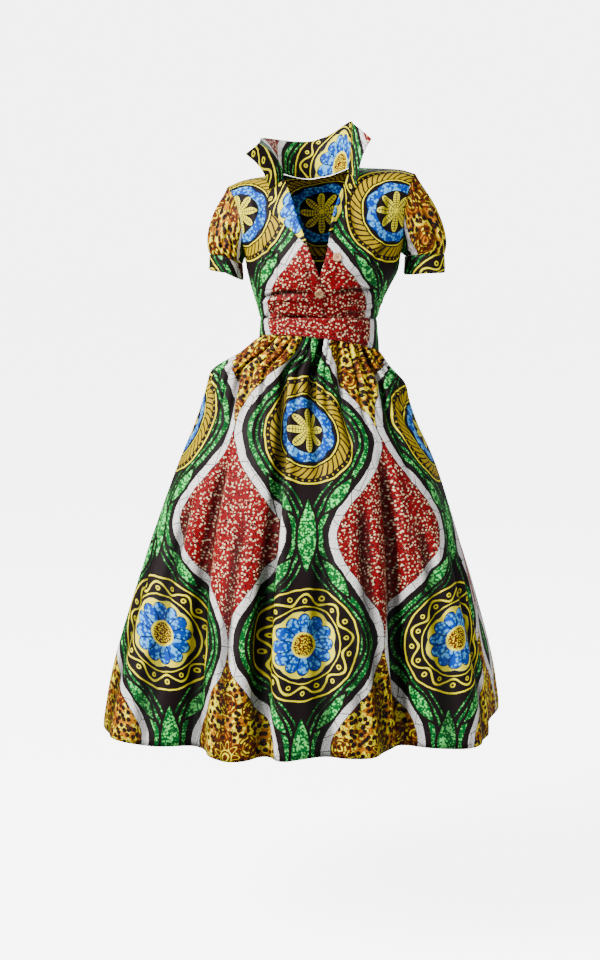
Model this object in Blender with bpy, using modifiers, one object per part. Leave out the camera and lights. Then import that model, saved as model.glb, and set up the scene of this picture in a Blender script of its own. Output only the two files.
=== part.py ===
"""A short-sleeved, button-front dress with a turned-up collar and a wide pleated skirt, in its worn form.

Metres, +Z up. The front faces -Y and the wearer's left is at +X. The origin is between the shoulders,
at the base of the neck, where the wearer carries the dress. Every piece of cloth is a thin wall.
Angles round the body are in degrees from the centre front, positive towards the wearer's left.
"""
import math
from collections import namedtuple

import bpy
import bmesh
from mathutils import Vector

COLLECTION = "shirt_dress"
WALL = 0.0015
SEAM = 0.0003
SIDE_SEAM_HALF = 0.0002
WELD = 0.00001

# Heights of the main seams, and the lean and tilt of the figure.
WAIST_SEAM_Z = -0.274
WAIST_SEAM_FRONT_LIFT = 0.007
BAND_FOOT_Z = -0.3255
BAND_FOOT_TILT = -0.0145
BAND_FOOT_FRONT_LIFT = 0.0195
HEM_Z = -1.056
SHOULDER_Z = 0.004
SHOULDER_TILT = 0.068
SHOULDER_SLOPE = 0.020
NECK_RISE = 0.012
LEAST_DEPTH = 0.01

# The bodice's form from the waist seam (up 0) to the shoulder seam (up 1).
Form = namedtuple("Form", "up half_width front back centre_x")
BODICE = (
    Form(0.00, 0.1125, 0.096, 0.086, -0.002),
    Form(0.12, 0.1220, 0.112, 0.090, -0.001),
    Form(0.22, 0.1330, 0.127, 0.094, 0.002),
    Form(0.34, 0.1450, 0.135, 0.100, 0.006),
    Form(0.45, 0.1500, 0.129, 0.104, 0.006),
    Form(0.60, 0.1620, 0.113, 0.103, 0.005),
    Form(0.74, 0.1720, 0.095, 0.096, 0.004),
    Form(0.84, 0.1780, 0.077, 0.083, 0.003),
    Form(0.92, 0.1820, 0.056, 0.063, 0.003),
    Form(0.97, 0.1840, 0.034, 0.040, 0.003),
    Form(1.00, 0.1850, 0.002, 0.002, 0.003),
)
BODICE_ROUNDNESS = 2.25
BODICE_CROWDING = 1.45
NORMAL_STEP = 0.01

# The angle at which each row of the bodice meets the armhole; 90 is the side seam.
Armhole = namedtuple("Armhole", "up front back")
ARMHOLE = (
    Armhole(0.00, 90.0, 90.0),
    Armhole(0.44, 90.0, 90.0),
    Armhole(0.52, 79.0, 80.0),
    Armhole(0.62, 68.0, 70.0),
    Armhole(0.76, 64.0, 66.0),
    Armhole(0.90, 67.0, 69.0),
    Armhole(1.00, 74.0, 74.0),
)
UNDERARM_UP = 0.44

# Where the free edge of each front runs, as x on the wearer's right front and left front.
FrontEdge = namedtuple("FrontEdge", "up right left")
FRONT_EDGE = (
    FrontEdge(0.00, 0.008, -0.016),
    FrontEdge(0.16, 0.008, -0.016),
    FrontEdge(0.27, -0.001, -0.003),
    FrontEdge(0.45, -0.020, 0.012),
    FrontEdge(0.55, -0.031, 0.017),
    FrontEdge(0.72, -0.046, 0.028),
    FrontEdge(0.86, -0.058, 0.043),
    FrontEdge(0.95, -0.068, 0.053),
    FrontEdge(1.00, -0.076, 0.060),
)
OVERLAP_DEPTH = 0.0025
OVERLAP_REACH = 0.028
OVERLAP_FADE = 0.030
OVERLAP_TOP_UP = 0.30
OVERLAP_FADE_UP = 0.10
NECK_CENTRE_X = -0.008
NECK_HALF = 0.068
BACK_NECK_CUT = 0.075

# The lapels, from their foot (along 0) to the collar seam (along 1).
Lapel = namedtuple("Lapel", "along right left")
LAPEL_WIDTH = (
    Lapel(0.00, 0.004, 0.003),
    Lapel(0.20, 0.016, 0.007),
    Lapel(0.45, 0.034, 0.014),
    Lapel(0.70, 0.046, 0.020),
    Lapel(0.88, 0.043, 0.022),
    Lapel(1.00, 0.036, 0.024),
)
LAPEL_UP = {"right": (0.50, 0.955), "left": (0.56, 0.955)}
LAPEL_STANDOFF = 0.0010
LAPEL_ROLL = 0.0065
LAPEL_ROLL_AT_FOOT = 0.25
GORGE_FALL = {"right": 0.075, "left": 0.055}
GORGE_START = 0.90

# The collar's leaf from its seam. The seam runs from the back (0) round to each front edge (-1 on the
# right, 1 on the left) and on along the lapel's upper end, which is the gorge.
Collar = namedtuple("Collar", "round out_x out_y rise")
COLLAR = (
    Collar(-1.30, -0.044, -0.012, 0.068),
    Collar(-1.00, -0.048, -0.010, 0.062),
    Collar(-0.84, -0.042, -0.004, 0.062),
    Collar(-0.55, -0.034, 0.006, 0.066),
    Collar(0.00, 0.000, 0.028, 0.072),
    Collar(0.55, 0.000, 0.008, 0.086),
    Collar(0.84, 0.006, -0.004, 0.086),
    Collar(1.00, 0.023, -0.010, 0.078),
    Collar(1.30, 0.025, -0.012, 0.077),
)
COLLAR_END = COLLAR[-1].round
COLLAR_ROLL = 0.006
COLLAR_LEAN = 1.6
COLLAR_SEAM_LIFT = 0.0017
COLLAR_SHOULDER = 0.70
COLLAR_FRONT_UP = 0.045

# The sleeves; the cuff rings are level but for the drop towards the body.
Sleeve = namedtuple("Sleeve", "side cuff_x cuff_top_z cuff_half_x inner_drop height puff outer_lift")
SLEEVES = (
    Sleeve("right", -0.1795, -0.1540, 0.0320, 0.0120, 0.031, 0.013, 0.004),
    Sleeve("left", 0.2010, -0.1500, 0.0385, 0.0040, 0.036, 0.015, 0.000),
)
CUFF_HALF_DEPTH = 0.050
CUFF_CENTRE_Y = 0.002
CUFF_FLARE = 0.0015
ARMHOLE_GAP = 0.0016
SLEEVE_GAP = 0.00045
SLEEVE_GATHERS = 11
SLEEVE_GATHER_DEPTH = 0.0026
SLEEVE_GATHER_AT_HEAD = 0.3
SLEEVE_GATHER_INNER = 0.2
SLEEVE_LOW_PUFF = 0.55
SLEEVE_LOW_PUFF_BEND = 3.0
SLEEVE_HEAD_RISE = 0.012

# The skirt's form from the band (drop 0) to the hem (drop 1).
Skirt = namedtuple("Skirt", "drop half_front half_back front back centre_x")
SKIRT = (
    Skirt(0.000, 0.1160, 0.1160, 0.098, 0.090, -0.001),
    Skirt(0.035, 0.1400, 0.1260, 0.107, 0.104, -0.008),
    Skirt(0.090, 0.1880, 0.1500, 0.122, 0.128, -0.022),
    Skirt(0.130, 0.1960, 0.1700, 0.133, 0.142, -0.023),
    Skirt(0.190, 0.2110, 0.2030, 0.150, 0.158, -0.022),
    Skirt(0.250, 0.2300, 0.2300, 0.165, 0.174, -0.020),
    Skirt(0.450, 0.2840, 0.2840, 0.208, 0.216, -0.024),
    Skirt(0.680, 0.3340, 0.3340, 0.250, 0.256, -0.030),
    Skirt(0.880, 0.3730, 0.3730, 0.283, 0.288, -0.035),
    Skirt(1.000, 0.3880, 0.3880, 0.297, 0.302, -0.038),
)
SKIRT_ROUNDNESS = 2.1
MOUTH_DROP = 0.225
MOUTH_DEGREES = 7.0
MOUTH_BACK_SHARE = 0.6

# Large folds of the skirt: the angle at the band and at the hem, how far each stands out (or in) at the
# hem, how wide it is there, and the drop at which it starts.
Fold = namedtuple("Fold", "band hem out width start")
FOLDS = (
    Fold(-74, -60, 0.026, 13, 0.10),
    Fold(-44, -34, -0.056, 9.5, 0.16),
    Fold(-26, -20, 0.022, 7, 0.14),
    Fold(-15, -9.0, -0.026, 3.4, 0.10),
    Fold(-11, -4.5, 0.014, 3.8, 0.05),
    Fold(3, 6.0, -0.012, 5, 0.02),
    Fold(12, 17, 0.018, 8, 0.10),
    Fold(36, 32, -0.052, 8.5, 0.18),
    Fold(62, 52, 0.032, 12, 0.12),
    Fold(84, 80, -0.014, 9, 0.40),
    Fold(100, 101, 0.018, 12, 0.30),
    Fold(118, 121, -0.024, 10, 0.20),
    Fold(136, 140, 0.022, 11, 0.15),
    Fold(152, 158, -0.026, 9, 0.18),
    Fold(171, 175, 0.020, 10, 0.12),
    Fold(188, 191, -0.024, 9, 0.20),
    Fold(206, 208, 0.022, 11, 0.12),
    Fold(224, 225, -0.024, 10, 0.18),
    Fold(242, 242, 0.020, 11, 0.22),
    Fold(258, 259, -0.014, 9, 0.35),
)
# Unpressed pleats in the front: the angle where each is laid, its depth and the drop where it opens.
Pleat = namedtuple("Pleat", "angle lean depth width end")
PLEATS = (
    Pleat(-14, 1.5, -0.0105, 3.4, 0.42),
    Pleat(1, 2.5, -0.0110, 3.4, 0.40),
    Pleat(16, 3.0, -0.0090, 3.4, 0.34),
    Pleat(45, 2.0, -0.0080, 4.0, 0.36),
    Pleat(-42, -2.0, -0.0070, 4.0, 0.30),
    Pleat(150, 1.0, -0.0090, 4.0, 0.34),
    Pleat(180, 0.0, -0.0100, 4.0, 0.36),
    Pleat(210, -1.0, -0.0090, 4.0, 0.34),
)
FOLD_END_DROP = 1.05
FOLD_TOP_WIDTH = 0.75
PLEAT_HELD_DROP = 0.05
GATHER_STEP_DEGREES = 10.0
GATHER_DEPTH = 0.0030
GATHER_END_DROP = 0.30
GATHER_START_DROP = 0.02
GATHER_AT_BAND = 0.35
HEM_FRONT_FALL = 0.010
HEM_WAVE = 0.004
HEM_WAVES = 4.0
HEM_WAVE_TURN = 30.0
# What makes the gathers uneven: each wave's size, how many go round the body, and its turn in degrees.
# The first two move the gathers sideways, in degrees, and the third one changes their depth.
Uneven = namedtuple("Uneven", "size waves turn")
GATHER_BENDS = (Uneven(2.2, 3.0, 20.0), Uneven(1.4, 7.0, 0.0))
GATHER_SWELL = Uneven(0.35, 5.0, 60.0)

# The pocket bags, hung in the side-seam mouths.
POCKET_LOOP = 16
POCKET_ROWS = 5
POCKET_INSET = 0.0028
POCKET_MOUTH_DROPS = (0.035, 0.205)
PocketRow = namedtuple("PocketRow", "depth inward forward down lean height thick")
POCKET = (
    PocketRow(0.00, 0.000, 0.000, 0.000, 1.00, 1.00, 1.00),
    PocketRow(0.25, 0.018, 0.006, 0.008, 0.80, 1.00, 0.98),
    PocketRow(0.50, 0.040, 0.018, 0.026, 0.55, 0.95, 0.96),
    PocketRow(0.75, 0.062, 0.030, 0.046, 0.40, 0.86, 1.00),
    PocketRow(1.00, 0.078, 0.038, 0.060, 0.34, 0.74, 1.05),
)

BUTTON_RADIUS = 0.0083
BUTTON_THICKNESS = 0.0026
BUTTON_BEVEL = 0.0006
BUTTON_STANDOFF = 0.0005
BUTTON_SIDES = 18
BUTTON_RIM_ANGLE = math.radians(60.0)
BUTTON_SHARP_ANGLE = math.radians(35.0)
Button = namedtuple("Button", "name side up x")
BUTTONS = (
    Button("button_upper", "left", 0.405, 0.031),
    Button("button_lower", "right", 0.165, -0.002),
)

# Grid sizes: columns round the body by rows from seam to seam.
FRONT_GRID = (11, 14)
BACK_GRID = (22, 14)
BAND_GRID = (34, 2)
SKIRT_GRID = (68, 11)
ROW_CROWDING = 1.6
SLEEVE_GRID = (24, 7)
CUFF_GRID = (24, 2)
COLLAR_GRID = (52, 5)
LAPEL_GRID = (5, 16)

# The finish of each kind of piece: colour, roughness.
Finish = namedtuple("Finish", "red green blue roughness")
PRINT = Finish(0.10, 0.16, 0.05, 0.75)
PRINT_DARK = Finish(0.06, 0.04, 0.04, 0.80)
PRINT_RED = Finish(0.42, 0.03, 0.03, 0.75)
PRINT_GOLD = Finish(0.55, 0.30, 0.05, 0.75)
WOOD = Finish(0.62, 0.36, 0.19, 0.45)


def curve_value(rows, key, column, at):
    """The smooth value of a table's column where its key column has the given value."""
    places = [getattr(row, key) for row in rows]
    values = [getattr(row, column) for row in rows]
    at = min(max(at, places[0]), places[-1])
    last = len(rows) - 1
    index = 0
    while index < last - 1 and at > places[index + 1]:
        index += 1
    span = places[index + 1] - places[index]
    part = (at - places[index]) / span
    step = values[index + 1] - values[index]

    def slope(knot):
        if knot == 0 or knot == last:
            return step
        before = (values[knot] - values[knot - 1]) / (places[knot] - places[knot - 1])
        after = (values[knot + 1] - values[knot]) / (places[knot + 1] - places[knot])
        if before * after <= 0.0:
            return 0.0
        return 2.0 * before * after / (before + after) * span

    start_slope = slope(index)
    end_slope = slope(index + 1)
    square = part * part
    cube = square * part
    return (values[index] * (2 * cube - 3 * square + 1) + start_slope * (cube - 2 * square + part)
            + values[index + 1] * (3 * square - 2 * cube) + end_slope * (cube - square))


def ease(value):
    """0 below 0, 1 above 1, and a smooth step between."""
    value = min(max(value, 0.0), 1.0)
    return value * value * (3.0 - 2.0 * value)


def signed_power(value, power):
    """The power of a number's size, with the number's own sign."""
    return math.copysign(abs(value) ** power, value)


def oval(angle, half_width, front, back, roundness):
    """A point of a rounded oval and its outward direction, both in the XY plane."""
    side = math.sin(math.radians(angle))
    ahead = math.cos(math.radians(angle))
    depth = front if ahead > 0.0 else back
    point = Vector((half_width * signed_power(side, 2.0 / roundness),
                    -depth * signed_power(ahead, 2.0 / roundness), 0.0))
    outward = Vector((side / half_width, -ahead / max(depth, LEAST_DEPTH), 0.0)).normalized()
    return point, outward


def angle_apart(first, second):
    """The smallest turn between two angles, in degrees."""
    return (first - second + 180.0) % 360.0 - 180.0


# Bodice

def waist_seam_z(angle):
    """The height of the bodice's lower edge."""
    return WAIST_SEAM_Z + WAIST_SEAM_FRONT_LIFT * max(0.0, math.cos(math.radians(angle)))


def shoulder_seam_z(x):
    """The height of the shoulder line, which slopes down from the neck and tilts with the figure."""
    reach = abs(x - BODICE[-1].centre_x) / BODICE[-1].half_width
    return SHOULDER_Z + SHOULDER_TILT * x + NECK_RISE - SHOULDER_SLOPE * reach


def bodice_point(angle, up, moved_in=0.0):
    """A point of the bodice's outer surface at an angle round the body and a share of its height."""
    def column(name):
        return curve_value(BODICE, "up", name, up)

    point, outward = oval(angle, column("half_width"), column("front"), column("back"),
                          BODICE_ROUNDNESS)
    x = column("centre_x") + point.x
    low = waist_seam_z(angle)
    high = shoulder_seam_z(x)
    return Vector((x, point.y, low + (high - low) * up)) - outward * moved_in


def back_top_up(x):
    """Where the back ends: at the shoulder seams, and lower along the neckline."""
    reach = min(abs(x - NECK_CENTRE_X) / NECK_HALF, 1.0)
    return 1.0 - BACK_NECK_CUT * math.cos(reach * math.pi / 2.0)


def angle_at(x, up):
    """The angle at which the front of the bodice has the given x."""
    half = curve_value(BODICE, "up", "half_width", up)
    share = (x - curve_value(BODICE, "up", "centre_x", up)) / half
    return math.degrees(math.asin(signed_power(max(-1.0, min(1.0, share)), BODICE_ROUNDNESS / 2.0)))


def row_up(share):
    """Rows lie closer together towards the shoulder, where the form turns over."""
    return 1.0 - (1.0 - share) ** BODICE_CROWDING


def overlap_in(side, x, up):
    """How far the left front lies under the right one, next to its free edge."""
    if side == "right":
        return 0.0
    inside = x - curve_value(FRONT_EDGE, "up", "left", up)
    near = 1.0 - ease((inside - OVERLAP_REACH) / OVERLAP_FADE)
    return OVERLAP_DEPTH * near * (1.0 - ease((up - OVERLAP_TOP_UP) / OVERLAP_FADE_UP))


def front_point(side, across, up):
    """A point of one front: across 0 is its free edge, 1 its side seam or armhole."""
    edge_x = curve_value(FRONT_EDGE, "up", side, up)
    edge = angle_at(edge_x, up)
    end = curve_value(ARMHOLE, "up", "front", up)
    end = -end if side == "right" else end
    angle = edge + (end - edge) * across
    x = bodice_point(angle, up).x
    return bodice_point(angle, up, overlap_in(side, x, up))


def front_grid_point(side):
    """The grid function of one front, running towards the wearer's left."""
    def point(across, share):
        across = 1.0 - across if side == "right" else across
        place = front_point(side, across, row_up(share))
        return place + Vector((0.0, -SIDE_SEAM_HALF, SEAM * (1.0 - share)))
    return point


def back_grid_point(across, share):
    """The grid function of the back, from its left side seam round to the right one."""
    top_reach = ARMHOLE[-1].back
    top = bodice_point(angle_apart(180.0 - top_reach + 2.0 * top_reach * across, 0.0), 1.0)
    up = row_up(share) * back_top_up(top.x)
    reach = curve_value(ARMHOLE, "up", "back", up)
    angle = 180.0 - reach + 2.0 * reach * across
    place = bodice_point(angle_apart(angle, 0.0), up)
    return place + Vector((0.0, SIDE_SEAM_HALF, SEAM * (1.0 - share)))


def front_normal(side, across, up):
    """The outward direction of one front at a place."""
    high = (front_point(side, across, min(up + NORMAL_STEP, 1.0))
            - front_point(side, across, max(up - NORMAL_STEP, 0.0)))
    wide = (front_point(side, min(across + NORMAL_STEP, 1.0), up)
            - front_point(side, max(across - NORMAL_STEP, 0.0), up))
    normal = high.cross(wide) if side == "right" else wide.cross(high)
    return normal.normalized()


def front_across(side, x, up):
    """The share of the way across one front at which it has the given x."""
    edge = angle_at(curve_value(FRONT_EDGE, "up", side, up), up)
    end = curve_value(ARMHOLE, "up", "front", up)
    end = -end if side == "right" else end
    return (angle_at(x, up) - edge) / (end - edge)


# Lapels and collar

def lapel_across(side, along, reach, up):
    """The share of the way across one front at a share of the way across its lapel."""
    width = curve_value(LAPEL_WIDTH, "along", side, along) * reach
    start = curve_value(FRONT_EDGE, "up", side, up)
    return front_across(side, start + (-width if side == "right" else width), up)


def lapel_grid_point(side):
    """The turned-back edge of one front, made from the front's own points, moved out."""
    foot, head = LAPEL_UP[side]

    def point(across, along):
        across = 1.0 - across if side == "right" else across
        up = foot + (head - GORGE_FALL[side] * across - foot) * along
        share = lapel_across(side, along, across, up)
        swell = math.sin(math.pi * (LAPEL_ROLL_AT_FOOT + (1.0 - LAPEL_ROLL_AT_FOOT) * along))
        out = LAPEL_STANDOFF + WALL + LAPEL_ROLL * (1.0 - across) ** 2 * swell
        return front_point(side, share, up) + front_normal(side, share, up) * out
    return point


def gorge_point(side, reach):
    """The collar's seam along the lapel's upper end, from the front edge (0) to its outer end (1)."""
    up = LAPEL_UP[side][1] - GORGE_FALL[side] * reach
    share = lapel_across(side, 1.0, reach, up)
    return front_point(side, share, up) + front_normal(side, share, up) * (LAPEL_STANDOFF + WALL)


def neck_point(round_):
    """The collar's seam, from the right front end round the back (0) to the left front end."""
    side = "left" if round_ > 0.0 else "right"
    reach = abs(round_)
    if reach > 1.0:
        return gorge_point(side, (reach - 1.0) / (COLLAR_END - 1.0))
    if reach > COLLAR_SHOULDER:
        along = (reach - COLLAR_SHOULDER) / (1.0 - COLLAR_SHOULDER)
        up = 1.0 - COLLAR_FRONT_UP * along
        out = (LAPEL_STANDOFF + WALL) * ease((reach - GORGE_START) / (1.0 - GORGE_START))
        return front_point(side, 0.0, up) + front_normal(side, 0.0, up) * out
    turn = reach / COLLAR_SHOULDER * math.pi / 2.0
    x = NECK_CENTRE_X + math.copysign(NECK_HALF * math.sin(turn), round_)
    up = back_top_up(x)
    half = curve_value(BODICE, "up", "half_width", up)
    share = (x - curve_value(BODICE, "up", "centre_x", up)) / half
    angle = math.degrees(math.asin(signed_power(share, BODICE_ROUNDNESS / 2.0)))
    return bodice_point(180.0 - angle, up)


def collar_grid_point(across, share):
    """The collar: it stands up from the neck seam and leans outwards to its free edge."""
    round_ = COLLAR_END * (1.0 - 2.0 * across)
    base = neck_point(round_)
    out = Vector((curve_value(COLLAR, "round", "out_x", round_),
                  curve_value(COLLAR, "round", "out_y", round_),
                  curve_value(COLLAR, "round", "rise", round_)))
    flat = Vector((out.x, out.y, 0.0))
    lean = share ** COLLAR_LEAN
    roll = COLLAR_ROLL * math.sin(math.pi * share)
    return base + Vector((0.0, 0.0, COLLAR_SEAM_LIFT + out.z * share + roll)) + flat * lean


# Sleeves and cuffs

def armhole_point(side, turn):
    """The armhole's edge; turn 0 is the shoulder, 0.25 the front, 0.5 the underarm, 0.75 the back."""
    height = 0.5 + 0.5 * math.cos(2.0 * math.pi * turn)
    up = UNDERARM_UP + (1.0 - UNDERARM_UP) * height
    face = "front" if 0.0 < turn < 0.5 else "back"
    angle = curve_value(ARMHOLE, "up", face, up)
    angle = angle if face == "front" else 180.0 - angle
    return bodice_point(angle if side == "left" else -angle, up)


def cuff_point(sleeve, turn, fall):
    """A point of the cuff's outer surface; fall 0 is its top and 1 its open end."""
    hand = 1.0 if sleeve.side == "left" else -1.0
    outward = math.cos(2.0 * math.pi * turn)
    ahead = math.sin(2.0 * math.pi * turn)
    half_x = sleeve.cuff_half_x + CUFF_FLARE * fall
    half_y = CUFF_HALF_DEPTH + CUFF_FLARE * fall
    z = sleeve.cuff_top_z - sleeve.height * fall
    z += sleeve.outer_lift * outward - sleeve.inner_drop * max(0.0, -outward)
    return Vector((sleeve.cuff_x + hand * half_x * outward, CUFF_CENTRE_Y - half_y * ahead, z))


def sleeve_grid_point(sleeve):
    """The sleeve, from the armhole's edge to the cuff's top, puffed over the cuff."""
    hand = 1.0 if sleeve.side == "left" else -1.0

    def point(across, share):
        turn = across if sleeve.side == "right" else 1.0 - across
        along = 1.0 - share
        armhole = armhole_point(sleeve.side, turn)
        armhole.x += hand * ARMHOLE_GAP
        cuff = cuff_point(sleeve, turn, 0.0)
        cuff.z += SLEEVE_GAP
        outward = Vector((hand * math.cos(2.0 * math.pi * turn), -math.sin(2.0 * math.pi * turn), 0.0))
        top = max(0.0, math.cos(2.0 * math.pi * turn))
        place = armhole.lerp(cuff, along)
        outer = 0.5 + 0.5 * math.cos(2.0 * math.pi * turn)
        middle = math.sin(math.pi * along)
        low = math.sin(math.pi * along ** SLEEVE_LOW_PUFF_BEND)
        puff = sleeve.puff * outer * (middle + (low - middle) * SLEEVE_LOW_PUFF)
        gather = SLEEVE_GATHER_DEPTH * math.cos(2.0 * math.pi * SLEEVE_GATHERS * turn)
        gather *= middle * (SLEEVE_GATHER_AT_HEAD + (1.0 - SLEEVE_GATHER_AT_HEAD) * along)
        gather *= SLEEVE_GATHER_INNER + (1.0 - SLEEVE_GATHER_INNER) * outer
        head = SLEEVE_HEAD_RISE * top * middle ** 2
        return place + outward * (puff + gather) + Vector((0.0, 0.0, head))
    return point


def cuff_grid_point(sleeve):
    """The cuff's grid function, from its open end up to the sleeve."""
    def point(across, share):
        turn = across if sleeve.side == "right" else 1.0 - across
        return cuff_point(sleeve, turn, 1.0 - share)
    return point


# Waistband and skirt

def band_foot_z(angle):
    """The height of the band's lower edge, which tilts with the figure's hips."""
    side = math.sin(math.radians(angle))
    ahead = max(0.0, math.cos(math.radians(angle)))
    return BAND_FOOT_Z + BAND_FOOT_TILT * side + BAND_FOOT_FRONT_LIFT * ahead


def band_point(angle, share):
    """A point of the waistband; share 0 is its foot and 1 the bodice's edge."""
    top = BODICE[0]
    foot = SKIRT[0]
    mix = ease(share)
    point, _ = oval(angle, foot.half_front + (top.half_width - foot.half_front) * mix,
                    foot.front + (top.front - foot.front) * mix,
                    foot.back + (top.back - foot.back) * mix,
                    SKIRT_ROUNDNESS + (BODICE_ROUNDNESS - SKIRT_ROUNDNESS) * mix)
    low = band_foot_z(angle) + SEAM
    high = waist_seam_z(angle) - SEAM
    return point + Vector((foot.centre_x + (top.centre_x - foot.centre_x) * mix, 0.0,
                           low + (high - low) * share))


def band_grid_point(middle):
    """The grid function of the band's front (middle 0) or back (middle 180)."""
    apart = -SIDE_SEAM_HALF if middle == 0.0 else SIDE_SEAM_HALF

    def point(across, share):
        return band_point(middle - 90.0 + 180.0 * across, share) + Vector((0.0, apart, 0.0))
    return point


def gathers(angle, drop):
    """Small gathers below the band, uneven in depth and spacing."""
    fade = 1.0 - ease(drop / GATHER_END_DROP)
    bend = sum(uneven(wave, angle) for wave in GATHER_BENDS)
    wave = math.cos(2.0 * math.pi * (angle + bend) / GATHER_STEP_DEGREES)
    swell = 1.0 - GATHER_SWELL.size + uneven(GATHER_SWELL, angle)
    return GATHER_DEPTH * fade * wave * swell * ease(drop / GATHER_START_DROP + GATHER_AT_BAND)


def uneven(wave, angle):
    """The value of an uneven wave at an angle round the body."""
    return wave.size * math.sin(math.radians(wave.waves * angle + wave.turn))


def folds(angle, drop):
    """The displacement of the large folds and pleats at a place on the skirt."""
    total = 0.0
    for fold in FOLDS:
        centre = fold.band + (fold.hem - fold.band) * drop
        grown = ease((drop - fold.start) / (FOLD_END_DROP - fold.start))
        width = fold.width * (FOLD_TOP_WIDTH + (1.0 - FOLD_TOP_WIDTH) * drop)
        total += fold.out * grown * math.exp(-(angle_apart(angle, centre) / width) ** 2)
    for pleat in PLEATS:
        held = 1.0 - ease((drop - PLEAT_HELD_DROP) / (pleat.end - PLEAT_HELD_DROP))
        off = angle_apart(angle, pleat.angle + pleat.lean * drop / pleat.end) / pleat.width
        total += pleat.depth * held * math.exp(-off * off)
    return total


def skirt_point(angle, drop, face):
    """A point of the skirt's outer surface on its front or back panel."""
    def column(name):
        return curve_value(SKIRT, "drop", name, drop)

    half = column("half_front") if face == "front" else column("half_back")
    point, outward = oval(angle, half, column("front"), column("back"), SKIRT_ROUNDNESS)
    out = gathers(angle, drop) + folds(angle, drop)
    low = hem_z(angle)
    high = band_foot_z(angle) - SEAM
    centre = Vector((column("centre_x"), 0.0, high + (low - high) * drop))
    return centre + point + outward * out


def hem_z(angle):
    """The hem's height, a little uneven and lower in front."""
    ahead = math.cos(math.radians(angle))
    wave = math.sin(math.radians(HEM_WAVES * angle + HEM_WAVE_TURN))
    return HEM_Z - HEM_FRONT_FALL * max(0.0, ahead) + HEM_WAVE * wave


def side_limit(face, drop):
    """The angle where a skirt panel ends: the side seam, or further in along the pocket's mouth."""
    open_ = math.sin(math.pi * min(drop / MOUTH_DROP, 1.0)) if drop < MOUTH_DROP else 0.0
    gape = MOUTH_DEGREES * open_
    return 90.0 - (gape if face == "front" else gape * MOUTH_BACK_SHARE)


def skirt_grid_point(face):
    """The grid function of one skirt panel, from hem to band."""
    middle = 0.0 if face == "front" else 180.0
    apart = -SIDE_SEAM_HALF if face == "front" else SIDE_SEAM_HALF

    def point(across, share):
        drop = row_drop(share)
        reach = side_limit(face, drop)
        place = skirt_point(middle - reach + 2.0 * reach * across, drop, face)
        return place + Vector((0.0, apart, 0.0))
    return point


def row_drop(share):
    """Rows of the skirt lie closer together near the band."""
    return (1.0 - share) ** ROW_CROWDING


# Pockets and buttons

def panel_edge_point(side, face, drop):
    """A point on a skirt panel's built edge, which runs straight from row to row of its grid."""
    rows = SKIRT_GRID[1]
    level = (1.0 - drop ** (1.0 / ROW_CROWDING)) * rows
    below = int(level)
    ends = []
    for row in (below, below + 1):
        drop_at_row = row_drop(row / rows)
        reach = side_limit(face, drop_at_row)
        angle = reach if face == "front" else 180.0 - reach
        ends.append(skirt_point(angle if side == "left" else -angle, drop_at_row, face))
    return ends[0].lerp(ends[1], level - below)


def mouth_point(side, turn):
    """The pocket mouth's outline: down the front panel's edge and up the back panel's."""
    first, last = POCKET_MOUTH_DROPS
    face = "front" if turn < 0.5 else "back"
    share = turn * 2.0 if turn < 0.5 else 2.0 - turn * 2.0
    drop = first + (last - first) * (0.5 - 0.5 * math.cos(math.pi * share))
    inward = -1.0 if side == "left" else 1.0
    return panel_edge_point(side, face, drop) + Vector((inward * POCKET_INSET, 0.0, 0.0))


def pocket_grid_point(side):
    """The pocket bag: the mouth's outline carried in, forward and down to its closed end."""
    hand = 1.0 if side == "left" else -1.0
    loop = [mouth_point(side, step / POCKET_LOOP) for step in range(POCKET_LOOP)]
    centre = sum(loop, Vector()) / POCKET_LOOP

    def point(across, share):
        def column(name):
            return curve_value(POCKET, "depth", name, share)

        turn = across if side == "right" else 1.0 - across
        offset = mouth_point(side, turn % 1.0) - centre
        shape = Vector((offset.x * column("lean"), offset.y * column("thick"), offset.z * column("height")))
        move = Vector((-hand * column("inward"), -column("forward"), -column("down")))
        return centre + shape + move
    return point


def finish(name, values):
    """A plain material of the piece's own."""
    material = bpy.data.materials.new(name + "_finish")
    material.use_nodes = True
    shader = material.node_tree.nodes["Principled BSDF"]
    shader.inputs["Base Color"].default_value = (values.red, values.green, values.blue, 1.0)
    shader.inputs["Roughness"].default_value = values.roughness
    shader.inputs["Metallic"].default_value = 0.0
    return material


def add_object(name, mesh, values, collection):
    """Link a mesh as a named object with its own material."""
    mesh.shade_smooth()
    piece = bpy.data.objects.new(name, mesh)
    piece.data.materials.append(finish(name, values))
    collection.objects.link(piece)
    return piece


def cloth(name, grid, place, values, collection, closed=False, ended=False):
    """A wall of cloth: a grid bent to place(across, up), with its thickness inwards.

    A closed one is joined to itself across, as a tube, and an ended one is shut at its last row.
    """
    shape = bmesh.new()
    bmesh.ops.create_grid(shape, x_segments=grid[0], y_segments=grid[1], size=0.5)
    last_row = shape.verts.layers.int.new("last_row")
    for vertex in shape.verts:
        vertex[last_row] = int(vertex.co.y > 0.5 - WELD)
        vertex.co = place(vertex.co.x + 0.5, vertex.co.y + 0.5)
    if closed:
        bmesh.ops.remove_doubles(shape, verts=shape.verts, dist=WELD)
    if ended:
        rim = [edge for edge in shape.edges if edge.is_boundary and edge.verts[0][last_row]]
        bmesh.ops.edgeloop_fill(shape, edges=rim)
    mesh = bpy.data.meshes.new(name)
    shape.to_mesh(mesh)
    shape.free()
    piece = add_object(name, mesh, values, collection)
    wall = piece.modifiers.new("wall", "SOLIDIFY")
    wall.thickness = WALL
    wall.offset = -1.0
    wall.use_even_offset = False
    return piece


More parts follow.
